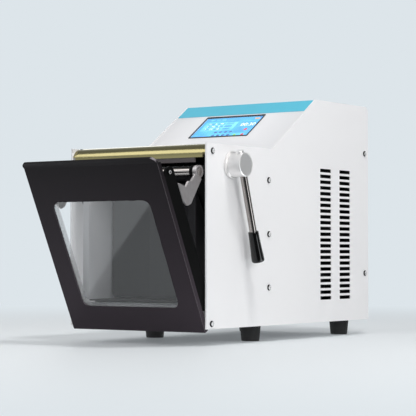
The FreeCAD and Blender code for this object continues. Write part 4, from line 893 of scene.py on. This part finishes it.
real = add(screw_tree, "GeometryNodeRealizeInstances", {"Geometry": placed.outputs["Instances"]})
finish = add(screw_tree, "GeometryNodeSetMaterial", {"Geometry": real.outputs["Geometry"],
             "Material": given.outputs["Finish"]})
screw_tree.links.new(finish.outputs["Geometry"], result.inputs["Geometry"])
print("screw tree nodes", len(screw_tree.nodes))

# %% Screws in their places


def screws(name, places, radius, seed, material, body, replaces=()):
    """Screws at (point, facing) places, with heads of a radius in millimetres."""
    mesh = bpy.data.meshes.new(name)
    mesh.from_pydata([point for point, facing in places], [], [])
    facings = mesh.attributes.new("facing", "FLOAT_VECTOR", "POINT")
    for index, (point, facing) in enumerate(places):
        facings.data[index].vector = facing
    carrier = in_scene(name, mesh)
    done = grown(carrier, screw_tree, {"Screw": screw_head, "Head radius": radius / 1000,
                                       "Seed": seed, "Finish": material})
    if "facing" in done.attributes:
        done.attributes.remove(done.attributes["facing"])
    print(name, len(places), "screws,", len(done.polygons), "faces")
    return piece(name, done, body, None, replaces)


panel_places = [(11.4, 6.6), (13.6, 224.6), (144.2, 50.1), (144.2, 120.7), (144.2, 192.2),
                (401.0, 66.8), (401.0, 240.0)]       # (back, up) in mm on a side panel
panel_face = 109.5                                   # mm from the middle to a panel's face
head_radius, spin_seed = 4.1, 7
places = [(at(side * panel_face, back, up), (side, 0, 0))
          for side in (1, -1) for back, up in panel_places]
screws("side_screws", places, head_radius, spin_seed, screw_steel, "housing",
       ("panel_screws",))

# %% [markdown]
# ## The display
#
# A lit touch screen behind its cover glass. It is drawn as what such a page is
# made of: a bright backdrop, a bar with three tabs and a battery mark, fields
# with three rows of numbers, a clock, two rows of keys and three round buttons.
# Each colour is one thin sheet with its own glow, lying on the panel with a
# hair of space between layers. The page holds no words, only plain numbers.

# %% Screen colours


def lit(name, colour, glow, shade=None, grain=22):
    """A glowing patch of screen; shade clouds it towards a second colour."""
    made, tree, shader = surface(name, colour, 0.35, ior=1.5)
    place = add(tree, "ShaderNodeTexCoord")
    cloud = add(tree, "ShaderNodeTexNoise", {"Vector": place.outputs["Object"],
                "Scale": per(grain), "Detail": 1.0})
    spread = add(tree, "ShaderNodeMapRange", {"Value": cloud.outputs["Fac"],
                 "From Min": 0.35, "From Max": 0.65})
    tint = add(tree, "ShaderNodeMix", {"Factor": spread.outputs["Result"], 6: linear(colour),
               7: linear(shade or colour)}, data_type="RGBA")
    feed(tree, shader, {"Base Color": tint.outputs[2], "Emission Color": tint.outputs[2]})
    shader.inputs["Emission Strength"].default_value = glow
    return made


screen_back = lit("screen_backdrop", "#4CC3F2", 0.50, "#2AA2EA", 26)
screen_panel = lit("screen_panel", "#74D3F5", 0.50, "#55C3F0", 18)
screen_field = lit("screen_field", "#2E9BE0", 0.42, "#56BDEE", 9)
screen_white = lit("screen_white", "#FFFFFF", 0.75)
screen_key = lit("screen_key", "#1D5FA8", 0.30, "#2A6DB6", 6)
screen_bar = lit("screen_bar", "#2E9FEF", 0.45, "#4AB4F5", 14)
screen_red = lit("screen_red", "#D2404E", 0.45)
screen_green = lit("screen_green", "#7FCB62", 0.45)
screen_amber = lit("screen_amber", "#E8A85C", 0.45)
print("screen colours", screen_back.name, screen_key.name)

# %% Sheets of screen
screen_left, screen_low = -50.6, 43.3       # its lower left on the slope, in mm
screen_wide, screen_tall = 95.7, 55.2
screen_sunk, layer_step = 1.38, 0.06        # mm below the slope, and from sheet to sheet


def on_screen(share_across, share_up, layer):
    """A place on the screen from its lower left, as shares; layer stacks sheets."""
    return on_slope(screen_left + share_across * screen_wide,
                    screen_low + share_up * screen_tall, layer_step * layer - screen_sunk)


def rounded_outline(low, high, corner, steps=5):
    """The points of a rounded rectangle, in millimetres on the screen."""
    points = []
    for cx, cy, start in ((high[0] - corner, high[1] - corner, 0),
                          (low[0] + corner, high[1] - corner, 90),
                          (low[0] + corner, low[1] + corner, 180),
                          (high[0] - corner, low[1] + corner, 270)):
        for step in range(steps + 1):
            turn = math.radians(start + 90 * step / steps)
            points.append((cx + corner * math.cos(turn), cy + corner * math.sin(turn)))
    return points


def sheet(name, outline, layer, material):
    """A thin sheet of screen with an outline in millimetres on it."""
    count = len(outline)
    corners = [on_screen(x / screen_wide, y / screen_tall, level)
               for level in (layer, layer + 0.5) for x, y in outline]
    faces = [tuple(range(count)), tuple(range(count, 2 * count))]
    faces += [(i, (i + 1) % count, count + (i + 1) % count, count + i) for i in range(count)]
    return piece(name, shape(name, corners, faces), "housing", material)


def patch(name, low, high, layer, material, corner=0.8):
    """A rounded patch of screen between two corners given as shares."""
    low_mm = (low[0] * screen_wide, low[1] * screen_tall)
    high_mm = (high[0] * screen_wide, high[1] * screen_tall)
    return sheet(name, rounded_outline(low_mm, high_mm, corner), layer, material)


patch("screen_backdrop", (0.0, 0.0), (1.0, 1.0), 1, screen_back, 0.3)
patch("screen_top_bar", (0.02, 0.84), (0.98, 0.97), 2, screen_bar)
patch("screen_readout", (0.05, 0.36), (0.62, 0.78), 2, screen_panel, 1.5)
patch("screen_side", (0.67, 0.20), (0.97, 0.78), 2, screen_bar, 1.5)
patch("screen_battery", (0.86, 0.875), (0.95, 0.94), 3, screen_amber, 0.5)
patch("screen_foot_note", (0.06, 0.05), (0.26, 0.12), 2, screen_bar, 0.6)
print("screen sheets done", len(made_pieces))

# %% [markdown]
# Keys, fields and tabs are each a grid of one rounded tile, so one node tree
# makes them all: a mesh grid gives the places, a filleted rectangle filled and
# extruded gives the tile. Its inputs are the counts, the pitch, the tile's size
# and its corner.

# %% The tree that sets keys
key_tree = bpy.data.node_groups.new("set_keys", "GeometryNodeTree")
given, result = interface(key_tree, [
    ("Columns", "NodeSocketInt"), ("Rows", "NodeSocketInt"),
    ("Pitch across", "NodeSocketFloat"), ("Pitch up", "NodeSocketFloat"),
    ("Key width", "NodeSocketFloat"), ("Key height", "NodeSocketFloat"),
    ("Corner", "NodeSocketFloat"), ("Thickness", "NodeSocketFloat"),
    ("Finish", "NodeSocketMaterial")])


def row_length(pitch, count):
    """How long a row is: its pitch times one less than its count."""
    gaps = add(key_tree, "ShaderNodeMath", {0: given.outputs[count], 1: 1.0},
               operation="SUBTRACT")
    return add(key_tree, "ShaderNodeMath", {0: given.outputs[pitch], 1: gaps.outputs[0]},
               operation="MULTIPLY").outputs[0]


grid = add(key_tree, "GeometryNodeMeshGrid", {
    "Size X": row_length("Pitch across", "Columns"), "Size Y": row_length("Pitch up", "Rows"),
    "Vertices X": given.outputs["Columns"], "Vertices Y": given.outputs["Rows"]})
outline = add(key_tree, "GeometryNodeCurvePrimitiveQuadrilateral",
              {"Width": given.outputs["Key width"], "Height": given.outputs["Key height"]})
fillet = add(key_tree, "GeometryNodeFilletCurve", {"Curve": outline.outputs["Curve"],
             "Radius": given.outputs["Corner"], "Count": 4}, mode="POLY")
fill = add(key_tree, "GeometryNodeFillCurve", {"Curve": fillet.outputs["Curve"]}, mode="NGONS")
raised = add(key_tree, "GeometryNodeExtrudeMesh", {"Mesh": fill.outputs["Mesh"],
             "Offset Scale": given.outputs["Thickness"], "Individual": False})
keys = add(key_tree, "GeometryNodeInstanceOnPoints", {"Points": grid.outputs["Mesh"],
           "Instance": raised.outputs["Mesh"]})
real = add(key_tree, "GeometryNodeRealizeInstances", {"Geometry": keys.outputs["Instances"]})
finish = add(key_tree, "GeometryNodeSetMaterial", {"Geometry": real.outputs["Geometry"],
             "Material": given.outputs["Finish"]})
key_tree.links.new(finish.outputs["Geometry"], result.inputs["Geometry"])
print("key tree nodes", len(key_tree.nodes))

# %% Keys, fields and tabs on the screen
slope_turn = Matrix.Rotation(slope_angle, 4, "X")
key_corner, key_thick = 1.2, 0.05           # mm


def keys_on_screen(name, counts, pitch, key, centre, layer, material):
    """A grid of keys: counts, pitch and key size across and up, in millimetres."""
    carrier = in_scene(name, bpy.data.meshes.new(name))
    done = grown(carrier, key_tree, {
        "Columns": counts[0], "Rows": counts[1], "Pitch across": pitch[0] / 1000,
        "Pitch up": pitch[1] / 1000, "Key width": key[0] / 1000, "Key height": key[1] / 1000,
        "Corner": key_corner / 1000, "Thickness": key_thick / 1000, "Finish": material})
    done.transform(Matrix.Translation(on_screen(*centre, layer)) @ slope_turn)
    print(name, len(done.polygons), "faces")
    return piece(name, done, "housing", None)


keys_on_screen("screen_keys", (4, 2), (8.4, 8.6), (5.0, 4.2), (0.50, 0.19), 2, screen_key)
keys_on_screen("screen_fields", (3, 3), (15.0, 7.4), (12.5, 4.4), (0.335, 0.57), 3, screen_field)
keys_on_screen("screen_tabs", (3, 1), (9.5, 5.0), (7.5, 3.0), (0.22, 0.905), 3, screen_panel)

# %% Numbers and round buttons
writing_depth = 0.00002     # metres
button_points = 24


def numbers(name, text, place, tall, layer, material):
    """Plain numbers on the screen; place is their lower left as shares."""
    curve = bpy.data.curves.new(name, "FONT")
    curve.body = text
    curve.size = tall / 1000
    curve.extrude = writing_depth
    mesh = settled(in_scene(name, curve))
    mesh.transform(Matrix.Translation(on_screen(*place, layer)) @ slope_turn)
    return piece(name, mesh, "housing", material)


def round_button(name, centre, radius, material):
    """A round button on the screen; centre in shares, radius in millimetres."""
    middle = (centre[0] * screen_wide, centre[1] * screen_tall)
    turns = [math.tau * step / button_points for step in range(button_points)]
    outline = [(middle[0] + radius * math.cos(turn), middle[1] + radius * math.sin(turn))
               for turn in turns]
    return sheet(name, outline, 3, material)


numbers("screen_clock", "00:30", (0.70, 0.55), 11.0, 3, screen_white)
for row, words in enumerate(("12    6    48", "3    90    5", "7    24    10")):
    numbers("screen_row_" + str(row), words, (0.11, 0.68 - 0.135 * row), 5.2, 4, screen_white)
round_button("button_red", (0.86, 0.36), 3.0, screen_red)
round_button("button_low_red", (0.88, 0.11), 2.6, screen_red)
round_button("button_green", (0.75, 0.11), 2.6, screen_green)
coated("display_module", screen_bar)
print("screen pieces done", len(made_pieces))

# %% [markdown]
# ## The back and the inside
#
# The back is plain: a finger guard over the fan, an inlet and a rocker switch.
# The inside shows only through the window, the vents and the open mouth. The
# paddles and the chamber's liner stand right behind the window, so they are
# dressed too, in graphite that is painted shade. The rest keeps its CAD meshes
# and gets the finish of what it is made of, except the bulkhead and the drive
# frame, whose near-black coat is painted shade.

# %% Back fittings
dressed("fan_guard", black_arm_coat, bevel=0.2)
dressed("power_inlet", abs_plastic, bevel=0.3)
dressed("power_switch", abs_plastic, bevel=0.4)
dressed("fan_rotor", abs_plastic)
dressed("fan_frame", abs_plastic, bevel=0.3)
print("pieces", len(made_pieces))

# %% Paddles and chamber
# painted shade: the paddles' graphite stands for the shade inside the chamber
dressed("paddle_left", graphite_shade_coat, bevel=0.8)
dressed("paddle_right", graphite_shade_coat, bevel=0.8)
dressed("chamber_liner", liner_coat, bevel=0.4)
print("pieces", len(made_pieces))

# %% Inner nodes that keep their mesh
inner = {
    # painted shade: the bulkhead and the drive frame get the near-black coat so the inside reads
    # dark
    black_arm_coat: ["bulkhead", "drive_frame", "nose_screws", "pivot_studs", "latch_sectors"],
    mill_aluminium: ["crank_pulley", "motor_pulley", "crosshead_left",
                     "crosshead_right", "power_supply"],
    machined_steel: ["crankshaft", "crank_bearings", "connecting_rod_left",
                     "connecting_rod_right", "guide_rods_left", "guide_rods_right",
                     "lever_shaft", "latch_pinions", "foot_screws"],
    sintered_bronze: ["guide_bushes", "lever_bushes"],
    seal_rubber: ["rod_seals", "drive_belt", "door_buffers"],
    motor_enamel: ["motor"],
    circuit_board: ["control_board"],
}
for material, names in inner.items():
    for node in names:
        coated(node, material)
print("inner nodes", sum(len(names) for names in inner.values()))

# %% [markdown]
# ## Stage, camera and light
#
# The photograph is a catalogue shot: a pale room, a long lens and soft light
# from high on the right. The floor is a real surface that takes the machine's
# shadow. With distance its shading gives way to the room's own colour, so no
# horizon shows behind the machine.
#
# What metal and glass mirror is set apart from what the eye sees, by Light
# Path, and it is painted: the floor glows for reflections only. The door leans
# out, so its window mirrors the floor to its front left, where a painted
# straight shadow edge between a brighter and a duller part becomes the diagonal
# across the pane, a painted reflection. The side of the machine mirrors the
# floor to its right, where a painted glowing stripe draws the bright line in
# hub, rod and grip, a painted highlight.

# %% Floor
floor_half = 6                      # metres
near_eye, far_eye = 0.3, 1.6        # metres from the middle over which the room takes over
room_colour, mirror_colour = "#DDE5EA", "#E9EEF1"

floor_mesh = shape("floor", [(x * floor_half, y * floor_half, 0)
                             for x, y in ((-1, -1), (1, -1), (1, 1), (-1, 1))], [(0, 1, 2, 3)])
floor_paint, tree, shader = surface("floor_paint", "#E4E8EA", 0.6, ior=1.45)
seen = add(tree, "ShaderNodeLightPath")
to_eye = add(tree, "ShaderNodeMath", {0: seen.outputs["Is Camera Ray"],
             1: seen.outputs["Is Transmission Ray"]}, operation="MAXIMUM")
even = add(tree, "ShaderNodeEmission", {"Color": linear(room_colour), "Strength": 1.0})
place = add(tree, "ShaderNodeTexCoord")
away = add(tree, "ShaderNodeVectorMath", {0: place.outputs["Object"]}, operation="LENGTH")
fade = add(tree, "ShaderNodeMapRange", {"Value": away.outputs["Value"], "From Min": near_eye,
           "From Max": far_eye, "To Min": 0.12, "To Max": 1.0},
           interpolation_type="SMOOTHSTEP")
share = add(tree, "ShaderNodeMath", {0: to_eye.outputs[0], 1: fade.outputs["Result"]},
            operation="MULTIPLY")
plain = add(tree, "ShaderNodeMixShader", {0: share.outputs[0], 1: shader.outputs[0],
            2: even.outputs[0]})
print("floor seen as", room_colour, "from", far_eye, "m outwards")

# %% What metal and glass mirror of the floor: painted reflection and highlight
# painted reflection: a brighter and a duller part, split by a straight painted shadow edge, seen
# only in reflections
edge_slant, edge_from, edge_to = 0.1935, -0.1865, -0.1805
left_bright, left_dull = 1.55, 0.85
# painted highlight: a glowing stripe on the floor, seen only in reflections
stripe_middle, stripe_from, stripe_to = 0.05, 0.08, 0.20
stripe_bright, beside_stripe = 3.5, 0.08
right_from, right_to = 0.16, 0.24

split = add(tree, "ShaderNodeSeparateXYZ", {0: place.outputs["Object"]})
lean = add(tree, "ShaderNodeMath", {0: split.outputs["Y"], 1: edge_slant,
           2: split.outputs["X"]}, operation="MULTIPLY_ADD")
on_left = add(tree, "ShaderNodeMapRange", {"Value": lean.outputs[0], "From Min": edge_from,
              "From Max": edge_to, "To Min": left_bright, "To Max": left_dull})
across = add(tree, "ShaderNodeMath", {0: split.outputs["Y"], 1: -stripe_middle},
             operation="ADD")
across = add(tree, "ShaderNodeMath", {0: across.outputs[0]}, operation="ABSOLUTE")
stripe = add(tree, "ShaderNodeMapRange", {"Value": across.outputs[0],
             "From Min": stripe_from, "From Max": stripe_to,
             "To Min": stripe_bright, "To Max": beside_stripe})
to_right = add(tree, "ShaderNodeMapRange", {"Value": split.outputs["X"],
               "From Min": right_from, "From Max": right_to})
pool = add(tree, "ShaderNodeMix", {"Factor": to_right.outputs["Result"],
           "A": on_left.outputs["Result"], "B": stripe.outputs["Result"]})
mirrored = add(tree, "ShaderNodeEmission", {"Color": linear(mirror_colour),
               "Strength": pool.outputs["Result"]})
whole = add(tree, "ShaderNodeMixShader", {0: seen.outputs["Is Glossy Ray"],
            1: plain.outputs[0], 2: mirrored.outputs[0]})
tree.links.new(whole.outputs[0], tree.nodes["Material Output"].inputs["Surface"])
floor_mesh.materials.append(floor_paint)
in_scene("floor", floor_mesh)
print("floor nodes", len(tree.nodes))

# %% [markdown]
# The world has three faces. The eye, and what it sees through glass, gets the
# plain room colour. The machine gets a moderate, even light. Polished metal
# gets a room that is bright on the left, dim on the right where the hub's flat
# end looks, and dimmer overhead, which gives round metal its dark and bright
# bands.

# %% World
mirror_axis = (1.0, -0.1, 0)        # from the bright side of the room to the dim one

world = bpy.data.worlds.new("pale_room")
bpy.context.scene.world = world
world.use_nodes = True
sky = world.node_tree
sky.nodes.clear()
path = add(sky, "ShaderNodeLightPath")
seen = add(sky, "ShaderNodeMath", {0: path.outputs["Is Camera Ray"],
           1: path.outputs["Is Transmission Ray"]}, operation="MAXIMUM")
room_light = add(sky, "ShaderNodeBackground", {"Color": linear("#F1F2F4"), "Strength": 0.46})
room_seen = add(sky, "ShaderNodeBackground", {"Color": linear(room_colour), "Strength": 1.0})
direction = add(sky, "ShaderNodeTexCoord")
towards = add(sky, "ShaderNodeVectorMath", {0: direction.outputs["Generated"],
              1: mirror_axis}, operation="DOT_PRODUCT")
left_to_right = add(sky, "ShaderNodeMapRange", {"Value": towards.outputs["Value"],
                    "From Min": -0.1, "From Max": 0.8, "To Min": 1.2, "To Max": 0.05})
split = add(sky, "ShaderNodeSeparateXYZ", {0: direction.outputs["Generated"]})
overhead = add(sky, "ShaderNodeMapRange", {"Value": split.outputs["Z"], "From Min": 0.25,
               "From Max": 0.75, "To Min": 1.0, "To Max": 0.35})
walls = add(sky, "ShaderNodeMath", {0: left_to_right.outputs["Result"],
            1: overhead.outputs["Result"]}, operation="MULTIPLY")
room_mirrored = add(sky, "ShaderNodeBackground", {"Color": linear(mirror_colour),
                    "Strength": walls.outputs[0]})
gloss = add(sky, "ShaderNodeMixShader", {0: path.outputs["Is Glossy Ray"],
            1: room_light.outputs[0], 2: room_mirrored.outputs[0]})
blend = add(sky, "ShaderNodeMixShader", {0: seen.outputs[0], 1: gloss.outputs[0],
            2: room_seen.outputs[0]})
add(sky, "ShaderNodeOutputWorld", {"Surface": blend.outputs[0]})
print("world", world.name, "nodes", len(sky.nodes))

# %% [markdown]
# The camera is fitted to the housing's corners in the photograph: a long lens
# about two metres off, low and to the right. Four soft lamps light the machine.
# The key comes from the right and is soft enough for round shadows, the small
# one above throws the lever's shadow, and two weak ones open up the left and
# the back.

# %% Camera
camera_place = (1276.875, -1841.265, 114.6)     # mm
look_up, look_left = 1.63, 34.884               # degrees

lens = bpy.data.cameras.new("camera")
lens.sensor_width = 36.0
lens.lens = 142.28
lens.clip_end = 30.0
camera = in_scene("camera", lens)
camera.location = Vector(camera_place) / 1000
camera.rotation_euler = (math.radians(90 + look_up), 0, math.radians(look_left))
bpy.context.scene.camera = camera
print("camera", [round(v, 3) for v in camera.location])

# %% Lamps


def softbox(name, place, aim, size, power):
    """A rectangular lamp at a place in metres, aimed at another."""
    lamp = bpy.data.lights.new(name, "AREA")
    lamp.shape = "RECTANGLE"
    lamp.size, lamp.size_y = size
    lamp.energy = power
    shown = in_scene(name, lamp)
    shown.location = place
    shown.rotation_euler = (Vector(aim) - Vector(place)).to_track_quat("-Z", "Y").to_euler()
    print(name, power, "W")


softbox("key_right", (1.7, -0.7, 0.7), (0, 0, 0.15), (0.7, 1.0), 10)
softbox("top_right", (0.6, -0.30, 1.6), (0.05, -0.05, 0.2), (0.35, 0.2), 12)
softbox("front_left", (-0.9, -0.80, 1.35), (0, -0.2, 0.25), (0.7, 0.5), 3)
softbox("back_left", (-1.5, 1.2, 0.9), (0, 0, 0.15), (0.8, 0.8), 3)

bpy.context.scene.view_settings.view_transform = "Standard"

# %% [markdown]
# ## Last step
#
# The one screw that the tree copied has done its work and goes.

# %% Done
bpy.data.objects.remove(screw_head)
